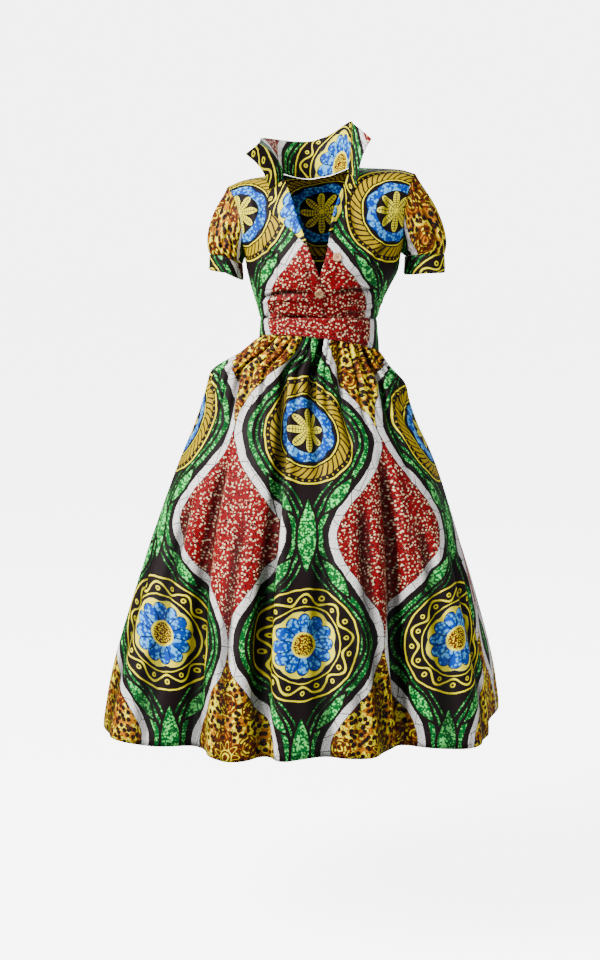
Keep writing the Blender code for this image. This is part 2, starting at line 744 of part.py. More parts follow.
def button(spec, collection):
    """A flat disc, turned to lie on its front."""
    across = front_across(spec.side, spec.x, spec.up)
    normal = front_normal(spec.side, across, spec.up)
    seat = front_point(spec.side, across, spec.up)
    shape = bmesh.new()
    bmesh.ops.create_cone(shape, cap_ends=True, segments=BUTTON_SIDES, radius1=BUTTON_RADIUS,
                          radius2=BUTTON_RADIUS, depth=BUTTON_THICKNESS)
    rims = [side for side in shape.edges if abs(side.calc_face_angle(0.0)) > BUTTON_RIM_ANGLE]
    bmesh.ops.bevel(shape, geom=rims, offset=BUTTON_BEVEL, segments=1, affect="EDGES", profile=0.5)
    mesh = bpy.data.meshes.new(spec.name)
    shape.to_mesh(mesh)
    shape.free()
    piece = add_object(spec.name, mesh, WOOD, collection)
    mesh.set_sharp_from_angle(angle=BUTTON_SHARP_ANGLE)
    piece.rotation_mode = "QUATERNION"
    piece.rotation_quaternion = normal.to_track_quat("Z", "Y")
    piece.location = seat + normal * (BUTTON_STANDOFF + BUTTON_THICKNESS / 2.0)
    return piece


def build():
    """Clear the scene and build every piece."""
    for old in list(bpy.data.objects):
        bpy.data.objects.remove(old, do_unlink=True)
    collection = bpy.data.collections.new(COLLECTION)
    bpy.context.scene.collection.children.link(collection)

    for side in ("right", "left"):
        cloth("bodice_front_" + side, FRONT_GRID, front_grid_point(side), PRINT_GOLD, collection)
        cloth("lapel_" + side, LAPEL_GRID, lapel_grid_point(side), PRINT_DARK, collection)
    cloth("bodice_back", BACK_GRID, back_grid_point, PRINT_GOLD, collection)
    cloth("collar", COLLAR_GRID, collar_grid_point, PRINT_DARK, collection)
    for sleeve in SLEEVES:
        cloth("sleeve_" + sleeve.side, SLEEVE_GRID, sleeve_grid_point(sleeve), PRINT_GOLD, collection,
              closed=True)
        cloth("cuff_" + sleeve.side, CUFF_GRID, cuff_grid_point(sleeve), PRINT_DARK, collection,
              closed=True)

    cloth("waistband_front", BAND_GRID, band_grid_point(0.0), PRINT_RED, collection)
    cloth("waistband_back", BAND_GRID, band_grid_point(180.0), PRINT_RED, collection)
    for face in ("front", "back"):
        cloth("skirt_" + face, SKIRT_GRID, skirt_grid_point(face), PRINT, collection)
    for side in ("right", "left"):
        cloth("pocket_" + side, (POCKET_LOOP, POCKET_ROWS), pocket_grid_point(side), PRINT_DARK,
              collection, closed=True, ended=True)
    for spec in BUTTONS:
        button(spec, collection)


build()
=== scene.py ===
"""The looks of a short-sleeved, button-front dress in printed cotton, in its worn form.

Metres, +Z up, the front towards -Y and the wearer's left at +X, as in the CAD frame. The cloth
follows the CAD walls' own measures, which are repeated here, with a finer grid and its creases laid
one by one.
"""
import logging
import math
from bisect import bisect_right
from dataclasses import dataclass, field
from enum import Enum
from typing import Callable, Sequence

import bmesh
import bpy
from mathutils import Matrix, Vector


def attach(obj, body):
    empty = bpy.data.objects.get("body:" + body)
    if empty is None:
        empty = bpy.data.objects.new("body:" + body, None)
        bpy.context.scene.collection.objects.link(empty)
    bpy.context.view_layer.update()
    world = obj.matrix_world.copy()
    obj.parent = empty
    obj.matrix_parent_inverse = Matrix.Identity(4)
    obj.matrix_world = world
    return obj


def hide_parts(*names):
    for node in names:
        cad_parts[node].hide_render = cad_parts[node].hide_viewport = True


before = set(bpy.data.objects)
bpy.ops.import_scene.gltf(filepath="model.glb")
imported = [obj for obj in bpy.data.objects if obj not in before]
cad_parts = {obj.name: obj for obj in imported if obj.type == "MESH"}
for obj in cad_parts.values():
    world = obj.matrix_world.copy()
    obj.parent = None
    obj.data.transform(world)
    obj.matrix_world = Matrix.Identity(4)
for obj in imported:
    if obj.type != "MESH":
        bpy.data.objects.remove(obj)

LOG = logging.getLogger("dress")
BODY = "root"
Place = Callable[[float, float], Vector]
Relief = Callable[[float, float, Vector, Vector], float]
Hidden = Callable[[float, float], float]


class Side(Enum):
    """The wearer's right or left."""

    RIGHT = "right"
    LEFT = "left"

    @property
    def hand(self) -> float:
        """1 towards the wearer's left, which is +X, and -1 towards the right."""
        return 1.0 if self is Side.LEFT else -1.0


class Face(Enum):
    """The front or the back of the dress."""

    FRONT = "front"
    BACK = "back"

    @property
    def middle(self) -> float:
        """The angle of the face's middle, in degrees round the body."""
        return 0.0 if self is Face.FRONT else 180.0


# Measures and curves

def ease(value: float) -> float:
    """0 below 0, 1 above 1, and a smooth step between."""
    value = min(max(value, 0.0), 1.0)
    return value * value * (3.0 - 2.0 * value)


def signed_power(value: float, power: float) -> float:
    """The power of a number's size, with the number's own sign."""
    return math.copysign(abs(value) ** power, value)


def angle_apart(first: float, second: float) -> float:
    """The smallest turn between two angles, in degrees."""
    return (first - second + 180.0) % 360.0 - 180.0


def oval(angle: float, half_width: float, front: float, back: float,
         roundness: float) -> tuple[Vector, Vector]:
    """A point of a rounded oval round the body.

    Args:
        angle: degrees from the centre front, positive towards the wearer's left.
        half_width: half of the oval's width.
        front: its depth in front of the side seams.
        back: its depth behind them.
        roundness: 2 for an ellipse, more for a squarer one.

    Returns:
        The point and its outward direction, both in the XY plane.
    """
    side = math.sin(math.radians(angle))
    ahead = math.cos(math.radians(angle))
    depth = front if ahead > 0.0 else back
    point = Vector((half_width * signed_power(side, 2.0 / roundness),
                    -depth * signed_power(ahead, 2.0 / roundness), 0.0))
    outward = Vector((side / half_width, -ahead / max(depth, 0.01), 0.0)).normalized()
    return point, outward


class Curve:
    """A smooth line through given values that never swings past them."""

    def __init__(self, keys: Sequence[float], values: Sequence[float]) -> None:
        """Keep the values and work out the slope at each of them.

        Args:
            keys: where the values stand, in rising order.
            values: the values.
        """
        self.keys = list(keys)
        self.values = list(values)
        steps = [(values[i + 1] - values[i]) / (keys[i + 1] - keys[i])
                 for i in range(len(keys) - 1)]
        self.slopes = [steps[0]]
        for before, after in zip(steps, steps[1:]):
            level = before * after <= 0.0
            self.slopes.append(0.0 if level else 2.0 * before * after / (before + after))
        self.slopes.append(steps[-1])

    def at(self, key: float) -> float:
        """The value at a key; outside the keys, the value at the nearest one.

        Args:
            key: the key.

        Returns:
            The value.
        """
        keys = self.keys
        key = min(max(key, keys[0]), keys[-1])
        index = min(max(bisect_right(keys, key) - 1, 0), len(keys) - 2)
        span = keys[index + 1] - keys[index]
        part = (key - keys[index]) / span
        square = part * part
        cube = square * part
        rise = 2.0 * cube - 3.0 * square
        return (self.values[index] * (rise + 1.0) - self.values[index + 1] * rise
                + span * (self.slopes[index] * (cube - 2.0 * square + part)
                          + self.slopes[index + 1] * (cube - square)))


class Table:
    """Rows of measures, each row a key and its values, read as one curve for each named column."""

    def __init__(self, names: str, *rows: Sequence[float]) -> None:
        """Make a curve of every named column."""
        keys = [row[0] for row in rows]
        self.curves = {name: Curve(keys, [row[i + 1] for row in rows])
                       for i, name in enumerate(names.split())}

    def at(self, name: str, key: float) -> float:
        """The value of the named column at a key."""
        return self.curves[name].at(key)


# The forms of the cloth, as in the CAD source

@dataclass
class BodiceForm:
    """The upper body of the dress from the waist seam (up 0) to the shoulder seams (up 1)."""

    waist_z: float = -0.274
    waist_front_lift: float = 0.007
    shoulder_z: float = 0.004
    shoulder_tilt: float = 0.068
    shoulder_slope: float = 0.020
    neck_rise: float = 0.012
    roundness: float = 2.25
    underarm_up: float = 0.44
    row_crowding: float = 1.45
    side_gap: float = 0.0002
    seam: float = -0.0003
    overlap_depth: float = 0.0025
    overlap_reach: float = 0.028
    overlap_fade: float = 0.030
    overlap_top_up: float = 0.30
    overlap_fade_up: float = 0.10
    neck_x: float = -0.008
    neck_half: float = 0.068
    back_neck_cut: float = 0.075
    shoulder_settle: float = 0.008
    shape: Table = field(default_factory=lambda: Table(
        "half_width front back centre_x",
        (0.00, 0.1125, 0.096, 0.086, -0.002),
        (0.12, 0.1220, 0.112, 0.090, -0.001),
        (0.22, 0.1330, 0.127, 0.094, 0.002),
        (0.34, 0.1450, 0.135, 0.100, 0.006),
        (0.45, 0.1500, 0.129, 0.104, 0.006),
        (0.60, 0.1620, 0.113, 0.103, 0.005),
        (0.74, 0.1720, 0.095, 0.096, 0.004),
        (0.84, 0.1780, 0.077, 0.083, 0.003),
        (0.92, 0.1820, 0.056, 0.063, 0.003),
        (0.97, 0.1840, 0.034, 0.040, 0.003),
        (1.00, 0.1850, 0.002, 0.002, 0.003)))
    armhole: Table = field(default_factory=lambda: Table(
        "front back",
        (0.00, 90.0, 90.0), (0.44, 90.0, 90.0), (0.52, 79.0, 80.0), (0.62, 68.0, 70.0),
        (0.76, 64.0, 66.0), (0.90, 67.0, 69.0), (1.00, 74.0, 74.0)))
    edge: Table = field(default_factory=lambda: Table(
        "right left",
        (0.00, 0.008, -0.016), (0.16, 0.008, -0.016), (0.27, -0.001, -0.003),
        (0.45, -0.020, 0.012), (0.55, -0.031, 0.017), (0.72, -0.046, 0.028),
        (0.86, -0.058, 0.043), (0.95, -0.068, 0.053), (1.00, -0.076, 0.060)))

    def waist_at(self, angle: float) -> float:
        """The height of the waist seam at an angle round the body."""
        return self.waist_z + self.waist_front_lift * max(0.0, math.cos(math.radians(angle)))

    def shoulder_at(self, x: float) -> float:
        """The height of the shoulder line at a distance from the middle."""
        reach = abs(x - self.shape.at("centre_x", 1.0)) / self.shape.at("half_width", 1.0)
        return (self.shoulder_z + self.shoulder_tilt * x + self.neck_rise
                - self.shoulder_slope * reach)

    def point(self, angle: float, up: float, moved_in: float = 0.0) -> Vector:
        """A point of the outer surface.

        Args:
            angle: degrees round the body.
            up: the share of the way from the waist seam to the shoulder line.
            moved_in: how far the point lies inside the surface.

        Returns:
            The point.
        """
        place, outward = oval(angle, self.shape.at("half_width", up), self.shape.at("front", up),
                              self.shape.at("back", up), self.roundness)
        x = self.shape.at("centre_x", up) + place.x
        low = self.waist_at(angle)
        reach = abs(x - self.shape.at("centre_x", up)) / self.shape.at("half_width", 1.0)
        settled = self.shoulder_settle * up ** 6 * math.exp(-((reach - 1.0) / 0.13) ** 2)
        z = low + (self.shoulder_at(x) - low) * up - settled
        return Vector((x, place.y, z)) - outward * moved_in

    def angle_at(self, x: float, up: float) -> float:
        """The angle at which the front has the given x."""
        share = (x - self.shape.at("centre_x", up)) / self.shape.at("half_width", up)
        return math.degrees(math.asin(signed_power(max(-1.0, min(1.0, share)),
                                                   self.roundness / 2.0)))

    def row_up(self, share: float) -> float:
        """Rows lie closer together towards the shoulder, where the form turns over."""
        return 1.0 - (1.0 - share) ** self.row_crowding

    def overlap_in(self, side: Side, x: float, up: float) -> float:
        """How far the left front lies under the right one, next to its free edge."""
        if side is Side.RIGHT:
            return 0.0
        inside = x - self.edge.at("left", up)
        near = 1.0 - ease((inside - self.overlap_reach) / self.overlap_fade)
        low = 1.0 - ease((up - self.overlap_top_up) / self.overlap_fade_up)
        return self.overlap_depth * near * low

    def front_point(self, side: Side, across: float, up: float) -> Vector:
        """A point of one front: across 0 is its free edge, 1 its side seam or armhole."""
        edge = self.angle_at(self.edge.at(side.value, up), up)
        end = side.hand * self.armhole.at("front", up)
        angle = edge + (end - edge) * across
        x = self.point(angle, up).x
        return self.point(angle, up, self.overlap_in(side, x, up))

    def front_normal(self, side: Side, across: float, up: float) -> Vector:
        """The outward direction of one front at a place."""
        step = 0.01
        high = (self.front_point(side, across, min(up + step, 1.0))
                - self.front_point(side, across, max(up - step, 0.0)))
        wide = (self.front_point(side, min(across + step, 1.0), up)
                - self.front_point(side, max(across - step, 0.0), up))
        normal = high.cross(wide) if side is Side.RIGHT else wide.cross(high)
        return normal.normalized()

    def front_across(self, side: Side, x: float, up: float) -> float:
        """The share of the way across one front at which it has the given x."""
        edge = self.angle_at(self.edge.at(side.value, up), up)
        return (self.angle_at(x, up) - edge) / (side.hand * self.armhole.at("front", up) - edge)

    def front_sheet(self, side: Side) -> Place:
        """The place function of one front, running towards the wearer's left.

        Args:
            side: the front.

        Returns:
            The function, from the sheet's shares to a point.
        """
        def place(across: float, share: float) -> Vector:
            """The front's point at a place of the sheet."""
            across = 1.0 - across if side is Side.RIGHT else across
            spot = self.front_point(side, across, self.row_up(share))
            return spot + Vector((0.0, -self.side_gap, self.seam * (1.0 - share)))
        return place

    def back_top_up(self, x: float) -> float:
        """Where the back ends: at the shoulder seams, and lower along the neckline."""
        reach = min(abs(x - self.neck_x) / self.neck_half, 1.0)
        return 1.0 - self.back_neck_cut * math.cos(reach * math.pi / 2.0)

    def back_sheet(self, across: float, share: float) -> Vector:
        """The place function of the back, from its left side seam round to the right one."""
        top_reach = self.armhole.at("back", 1.0)
        top = self.point(angle_apart(180.0 - top_reach + 2.0 * top_reach * across, 0.0), 1.0)
        up = self.row_up(share) * self.back_top_up(top.x)
        reach = self.armhole.at("back", up)
        spot = self.point(angle_apart(180.0 - reach + 2.0 * reach * across, 0.0), up)
        return spot + Vector((0.0, self.side_gap, self.seam * (1.0 - share)))

    def armhole_point(self, side: Side, turn: float) -> Vector:
        """The armhole's edge; turn 0 is the shoulder, 0.25 the front, 0.5 the underarm."""
        height = 0.5 + 0.5 * math.cos(2.0 * math.pi * turn)
        up = self.underarm_up + (1.0 - self.underarm_up) * height
        ahead = 0.0 < turn < 0.5
        angle = self.armhole.at("front" if ahead else "back", up)
        angle = angle if ahead else 180.0 - angle
        return self.point(side.hand * angle, up)


@dataclass
class CollarForm:
    """The lapels and the turned-up collar, which follow the fronts and the neckline."""

    bodice: BodiceForm
    standoff: float = 0.0010
    wall: float = 0.0015
    lapel_roll: float = 0.0065
    roll_at_foot: float = 0.25
    foot: tuple[float, float] = (0.50, 0.56)
    head: float = 0.955
    gorge_fall: tuple[float, float] = (0.075, 0.055)
    gorge_start: float = 0.90
    end: float = 1.30
    leaf_roll: float = 0.006
    seam_lift: float = 0.0004
    shoulder: float = 0.70
    front_up: float = 0.045
    lean: float = 1.6
    width: Table = field(default_factory=lambda: Table(
        "right left",
        (0.00, 0.004, 0.003), (0.20, 0.016, 0.007), (0.45, 0.034, 0.014),
        (0.70, 0.046, 0.020), (0.88, 0.043, 0.022), (1.00, 0.036, 0.024)))
    leaf: Table = field(default_factory=lambda: Table(
        "out_x out_y rise",
        (-1.30, -0.044, -0.012, 0.068), (-1.00, -0.048, -0.010, 0.062),
        (-0.84, -0.042, -0.004, 0.062), (-0.55, -0.034, 0.006, 0.066),
        (0.00, 0.000, 0.028, 0.072), (0.55, 0.000, 0.008, 0.086),
        (0.84, 0.006, -0.004, 0.086), (1.00, 0.023, -0.010, 0.078),
        (1.30, 0.025, -0.012, 0.077)))

    def of_side(self, pair: tuple[float, float], side: Side) -> float:
        """The right or left one of a pair of measures."""
        return pair[0] if side is Side.RIGHT else pair[1]

    def lapel_across(self, side: Side, along: float, reach: float, up: float) -> float:
        """The share of the way across one front at a share of the way across its lapel."""
        width = self.width.at(side.value, along) * reach
        return self.bodice.front_across(side, self.bodice.edge.at(side.value, up)
                                        + side.hand * width, up)

    def lapel_sheet(self, side: Side) -> Place:
        """The place function of one lapel: the front's own surface, moved out and rolled.

        Args:
            side: the lapel.

        Returns:
            The function, from the sheet's shares to a point.
        """
        form = self.bodice
        foot = self.of_side(self.foot, side)

        def place(across: float, along: float) -> Vector:
            """The lapel's point at a place of the sheet."""
            across = 1.0 - across if side is Side.RIGHT else across
            fall = self.of_side(self.gorge_fall, side) * across
            up = foot + (self.head - fall - foot) * along
            share = self.lapel_across(side, along, across, up)
            swell = math.sin(math.pi * (self.roll_at_foot + (1.0 - self.roll_at_foot) * along))
            out = self.standoff + self.wall + self.lapel_roll * (1.0 - across) ** 2 * swell
            return form.front_point(side, share, up) + form.front_normal(side, share, up) * out
        return place

    def neck_point(self, turn: float) -> Vector:
        """The collar's seam, from the right front end round the back (0) to the left one.

        Args:
            turn: the place along the seam, below 0 on the right.

        Returns:
            The point.
        """
        form = self.bodice
        side = Side.LEFT if turn > 0.0 else Side.RIGHT
        reach = abs(turn)
        out = self.standoff + self.wall
        if reach > 1.0:
            along = (reach - 1.0) / (self.end - 1.0)
            up = self.head - self.of_side(self.gorge_fall, side) * along
            share = self.lapel_across(side, 1.0, along, up)
            return form.front_point(side, share, up) + form.front_normal(side, share, up) * out
        if reach > self.shoulder:
            along = (reach - self.shoulder) / (1.0 - self.shoulder)
            up = 1.0 - self.front_up * along
            out *= ease((reach - self.gorge_start) / (1.0 - self.gorge_start))
            return form.front_point(side, 0.0, up) + form.front_normal(side, 0.0, up) * out
        swing = reach / self.shoulder * math.pi / 2.0
        x = form.neck_x + math.copysign(form.neck_half * math.sin(swing), turn)
        up = form.back_top_up(x)
        return form.point(180.0 - form.angle_at(x, up), up)

    def leaf_sheet(self, across: float, share: float) -> Vector:
        """The place function of the collar's leaf, from its seam up to its free edge."""
        turn = self.end * (1.0 - 2.0 * across)
        flat = Vector((self.leaf.at("out_x", turn), self.leaf.at("out_y", turn), 0.0))
        rise = self.leaf.at("rise", turn) * share + self.leaf_roll * math.sin(math.pi * share)
        return (self.neck_point(turn) + Vector((0.0, 0.0, self.seam_lift + rise))
                + flat * share ** self.lean)


@dataclass
class SleeveForm:
    """One sleeve and its cuff; turn 0 is the outer side and 0.25 the front."""

    bodice: BodiceForm
    side: Side
    cuff_x: float
    cuff_top_z: float
    half_x: float
    inner_drop: float
    height: float
    puff: float
    outer_lift: float
    half_depth: float = 0.050
    centre_y: float = 0.002
    flare: float = 0.0015
    armhole_gap: float = 0.0001
    seam: float = 0.00045
    gathers: int = 11
    gather_depth: float = 0.0026
    head_rise: float = 0.012

    def cuff_point(self, turn: float, fall: float) -> Vector:
        """A point of the cuff's outer surface; fall 0 is its top and 1 its open end.

        Args:
            turn: the turn round the cuff.
            fall: the share of the way down it.

        Returns:
            The point.
        """
        outward = math.cos(2.0 * math.pi * turn)
        ahead = math.sin(2.0 * math.pi * turn)
        half_x = self.half_x + self.flare * fall
        half_y = self.half_depth + self.flare * fall
        z = self.cuff_top_z - self.height * fall
        z += self.outer_lift * outward - self.inner_drop * max(0.0, -outward)
        return Vector((self.cuff_x + self.side.hand * half_x * outward,
                       self.centre_y - half_y * ahead, z))

    def turn_at(self, across: float) -> float:
        """The turn round the sleeve at a column, so that both sleeves' cloth faces outwards."""
        return (across + 0.5 if self.side is Side.RIGHT else 1.5 - across) % 1.0

    def sleeve_sheet(self, across: float, share: float) -> Vector:
        """The place function of the sleeve, from the armhole's edge to the cuff's top.

        Args:
            across: the share of the way round.
            share: the share of the way up from the cuff.

        Returns:
            The point.
        """
        turn = self.turn_at(across)
        along = 1.0 - share
        around = 2.0 * math.pi * turn
        top = self.bodice.armhole_point(self.side, turn)
        top.x += self.side.hand * self.armhole_gap
        end = self.cuff_point(turn, 0.0)
        end.z += self.seam
        outward = Vector((self.side.hand * math.cos(around), -math.sin(around), 0.0))
        middle = math.sin(math.pi * along)
        puff = self.puff * (middle * 0.45 + math.sin(math.pi * along ** 3.0) * 0.55)
        puff *= 0.5 + 0.5 * math.cos(around)
        gather = self.gather_depth * math.cos(self.gathers * around)
        gather *= middle * (0.3 + 0.7 * along) * (0.6 + 0.4 * math.cos(around))
        head = self.head_rise * max(0.0, math.cos(around)) * middle * middle
        return top.lerp(end, along) + outward * (puff + gather) + Vector((0.0, 0.0, head))

    def cuff_sheet(self, across: float, share: float) -> Vector:
        """The place function of the cuff, from its open end up to the sleeve."""
        return self.cuff_point(self.turn_at(across), 1.0 - share)


@dataclass(frozen=True)
class Fold:
    """A large fold of the skirt, from the band to the hem."""

    band: float
    hem: float
    out: float
    width: float
    start: float

    def reach(self, angle: float, drop: float) -> float:
        """How far the fold moves the cloth out at a place."""
        off = angle_apart(angle, self.band + (self.hem - self.band) * drop)
        width = self.width * (0.75 + 0.25 * drop)
        if abs(off) > 3.5 * width:
            return 0.0
        grown = ease((drop - self.start) / (1.05 - self.start))
        return self.out * grown * math.exp(-(off / width) ** 2)


@dataclass(frozen=True)
class Pleat:
    """An unpressed pleat below the band, which takes in some cloth and opens further down."""

    angle: float
    lean: float
    depth: float
    width: float
    end: float
    takes_in: float = 0.030

    def centre(self, drop: float) -> float:
        """The angle of the pleat's middle at a drop below the band."""
        return self.angle + self.lean * drop / self.end

    def held(self, drop: float) -> float:
        """How closed the pleat is at a drop below the band."""
        return 1.0 - ease((drop - 0.05) / (self.end - 0.05))

    def reach(self, angle: float, drop: float) -> float:
        """How far the pleat moves the cloth out at a place."""
        off = angle_apart(angle, self.centre(drop)) / self.width
        if abs(off) > 3.5:
            return 0.0
        return self.depth * self.held(drop) * math.exp(-off * off)


@dataclass
class SkirtForm:
    """The waistband and the skirt, from the band's foot (drop 0) to the hem (drop 1)."""

    bodice: BodiceForm
    foot_z: float = -0.3255
    foot_tilt: float = -0.0145
    foot_front_lift: float = 0.0195
    hem: float = -1.056
    hem_front_fall: float = 0.010
    hem_wave: float = 0.004
    roundness: float = 2.1
    seam: float = -0.0004
    side_gap: float = 0.0002
    mouth_drop: float = 0.225
    mouth_degrees: float = 7.0
    back_share: float = 0.6
    row_crowding: float = 1.6
    gather_step: float = 10.0
    gather_depth: float = 0.0030
    gather_end: float = 0.30
    shape: Table = field(default_factory=lambda: Table(
        "half_front half_back front back centre_x",
        (0.000, 0.1160, 0.1160, 0.098, 0.090, -0.001),
        (0.035, 0.1400, 0.1260, 0.107, 0.104, -0.008),
        (0.090, 0.1880, 0.1500, 0.122, 0.128, -0.022),
        (0.130, 0.1960, 0.1700, 0.133, 0.142, -0.023),
        (0.190, 0.2110, 0.2030, 0.150, 0.158, -0.022),
        (0.250, 0.2300, 0.2300, 0.165, 0.174, -0.020),
        (0.450, 0.2840, 0.2840, 0.208, 0.216, -0.024),
        (0.680, 0.3340, 0.3340, 0.250, 0.256, -0.030),
        (0.880, 0.3730, 0.3730, 0.283, 0.288, -0.035),
        (1.000, 0.3880, 0.3880, 0.297, 0.302, -0.038)))
    folds: tuple[Fold, ...] = (
        Fold(-74, -60, 0.026, 13, 0.10), Fold(-44, -34, -0.056, 9.5, 0.16),
        Fold(-26, -20, 0.022, 7, 0.14), Fold(-15, -9.0, -0.026, 3.4, 0.10),
        Fold(-11, -4.5, 0.014, 3.8, 0.05), Fold(3, 6.0, -0.012, 5, 0.02),
        Fold(12, 17, 0.018, 8, 0.10), Fold(36, 32, -0.052, 8.5, 0.18),
        Fold(62, 52, 0.032, 12, 0.12), Fold(84, 80, -0.014, 9, 0.40),
        Fold(100, 101, 0.018, 12, 0.30), Fold(118, 121, -0.024, 10, 0.20),
        Fold(136, 140, 0.022, 11, 0.15), Fold(152, 158, -0.026, 9, 0.18),
        Fold(171, 175, 0.020, 10, 0.12), Fold(188, 191, -0.024, 9, 0.20),
        Fold(206, 208, 0.022, 11, 0.12), Fold(224, 225, -0.024, 10, 0.18),
        Fold(242, 242, 0.020, 11, 0.22), Fold(258, 259, -0.014, 9, 0.35))
    pleats: tuple[Pleat, ...] = (
        Pleat(-14, 1.5, -0.0105, 3.4, 0.42), Pleat(1, 2.5, -0.0110, 3.4, 0.40),
        Pleat(16, 3.0, -0.0090, 3.4, 0.34), Pleat(45, 2.0, -0.0080, 4.0, 0.36),
        Pleat(-42, -2.0, -0.0070, 4.0, 0.30), Pleat(150, 1.0, -0.0090, 4.0, 0.34),
        Pleat(180, 0.0, -0.0100, 4.0, 0.36), Pleat(210, -1.0, -0.0090, 4.0, 0.34))

    def foot_at(self, angle: float) -> float:
        """The height of the band's foot, which tilts with the hips."""
        side = math.sin(math.radians(angle))
        ahead = max(0.0, math.cos(math.radians(angle)))
        return self.foot_z + self.foot_tilt * side + self.foot_front_lift * ahead

    def hem_at(self, angle: float) -> float:
        """The hem's height, a little uneven and lower in front."""
        ahead = max(0.0, math.cos(math.radians(angle)))
        return (self.hem - self.hem_front_fall * ahead
                + self.hem_wave * math.sin(math.radians(4.0 * angle + 30.0)))

    def band_sheet(self, face: Face) -> Place:
        """The place function of the band's front or back, from its foot up.

        Args:
            face: the front or the back.

        Returns:
            The function, from the sheet's shares to a point.
        """
        def mixed(name: str, foot_name: str, mix: float) -> float:
            """A measure between the skirt's at the band's foot and the bodice's at its top."""
            foot = self.shape.at(foot_name, 0.0)
            return foot + (self.bodice.shape.at(name, 0.0) - foot) * mix

        def place(across: float, share: float) -> Vector:
            """The band's point at a place of the sheet."""
            angle = face.middle - 90.0 + 180.0 * across
            mix = ease(share)
            round_mix = self.roundness + (self.bodice.roundness - self.roundness) * mix
            spot, _ = oval(angle, mixed("half_width", "half_front", mix),
                           mixed("front", "front", mix), mixed("back", "back", mix), round_mix)
            low = self.foot_at(angle) + self.seam
            high = self.bodice.waist_at(angle) - self.seam
            gap = -self.side_gap if face is Face.FRONT else self.side_gap
            return spot + Vector((mixed("centre_x", "centre_x", mix), gap,
                                  low + (high - low) * share))
        return place

    def gather(self, angle: float, drop: float) -> float:
        """Small gathers below the band, uneven in depth and spacing.

        Args:
            angle: degrees round the body.
            drop: the share of the way to the hem.

        Returns:
            The distance, outwards above 0.
        """
        fade = 1.0 - ease(drop / self.gather_end)
        if fade <= 0.0:
            return 0.0
        bend = (2.2 * math.sin(math.radians(3.0 * angle + 20.0))
                + 1.4 * math.sin(math.radians(7.0 * angle)))
        wave = math.cos(2.0 * math.pi * (angle + bend) / self.gather_step)
        swell = 0.65 + 0.35 * math.sin(math.radians(5.0 * angle + 60.0))
        return self.gather_depth * fade * wave * swell * ease(drop / 0.02 + 0.35)

    def point(self, angle: float, drop: float, face: Face) -> Vector:
        """A point of the skirt's outer surface.

        Args:
            angle: degrees round the body.
            drop: the share of the way from the band to the hem.
            face: the panel that the point lies on.

        Returns:
            The point, with the folds and pleats in it.
        """
        half = self.shape.at("half_" + face.value, drop)
        spot, outward = oval(angle, half, self.shape.at("front", drop),
                             self.shape.at("back", drop), self.roundness)
        out = self.gather(angle, drop)
        out += sum(fold.reach(angle, drop) for fold in self.folds)
        out += sum(pleat.reach(angle, drop) for pleat in self.pleats)
        high = self.foot_at(angle) - self.seam
        z = high + (self.hem_at(angle) - high) * drop
        return Vector((self.shape.at("centre_x", drop), 0.0, z)) + spot + outward * out

    def side_limit(self, face: Face, drop: float) -> float:
        """The angle where a panel ends: the side seam, or further in along the pocket's mouth."""
        gape = 0.0
        if drop < self.mouth_drop:
            gape = self.mouth_degrees * math.sin(math.pi * drop / self.mouth_drop)
        return 90.0 - (gape if face is Face.FRONT else gape * self.back_share)

    def angle_of(self, face: Face, across: float, drop: float) -> float:
        """The angle round the body at a column of a panel."""
        reach = self.side_limit(face, drop)
        return face.middle - reach + 2.0 * reach * across

    def drop_of(self, share: float) -> float:
        """The drop at a row of a panel; rows lie closer together near the band."""
        return (1.0 - share) ** self.row_crowding

    def panel_sheet(self, face: Face) -> Place:
        """The place function of one panel, from the hem up to the band.

        Args:
            face: the panel.

        Returns:
            The function, from the sheet's shares to a point.
        """
        gap = -self.side_gap if face is Face.FRONT else self.side_gap

        def place(across: float, share: float) -> Vector:
            """The panel's point at a place of the sheet."""
            drop = self.drop_of(share)
            return (self.point(self.angle_of(face, across, drop), drop, face)
                    + Vector((0.0, gap, 0.0)))
        return place


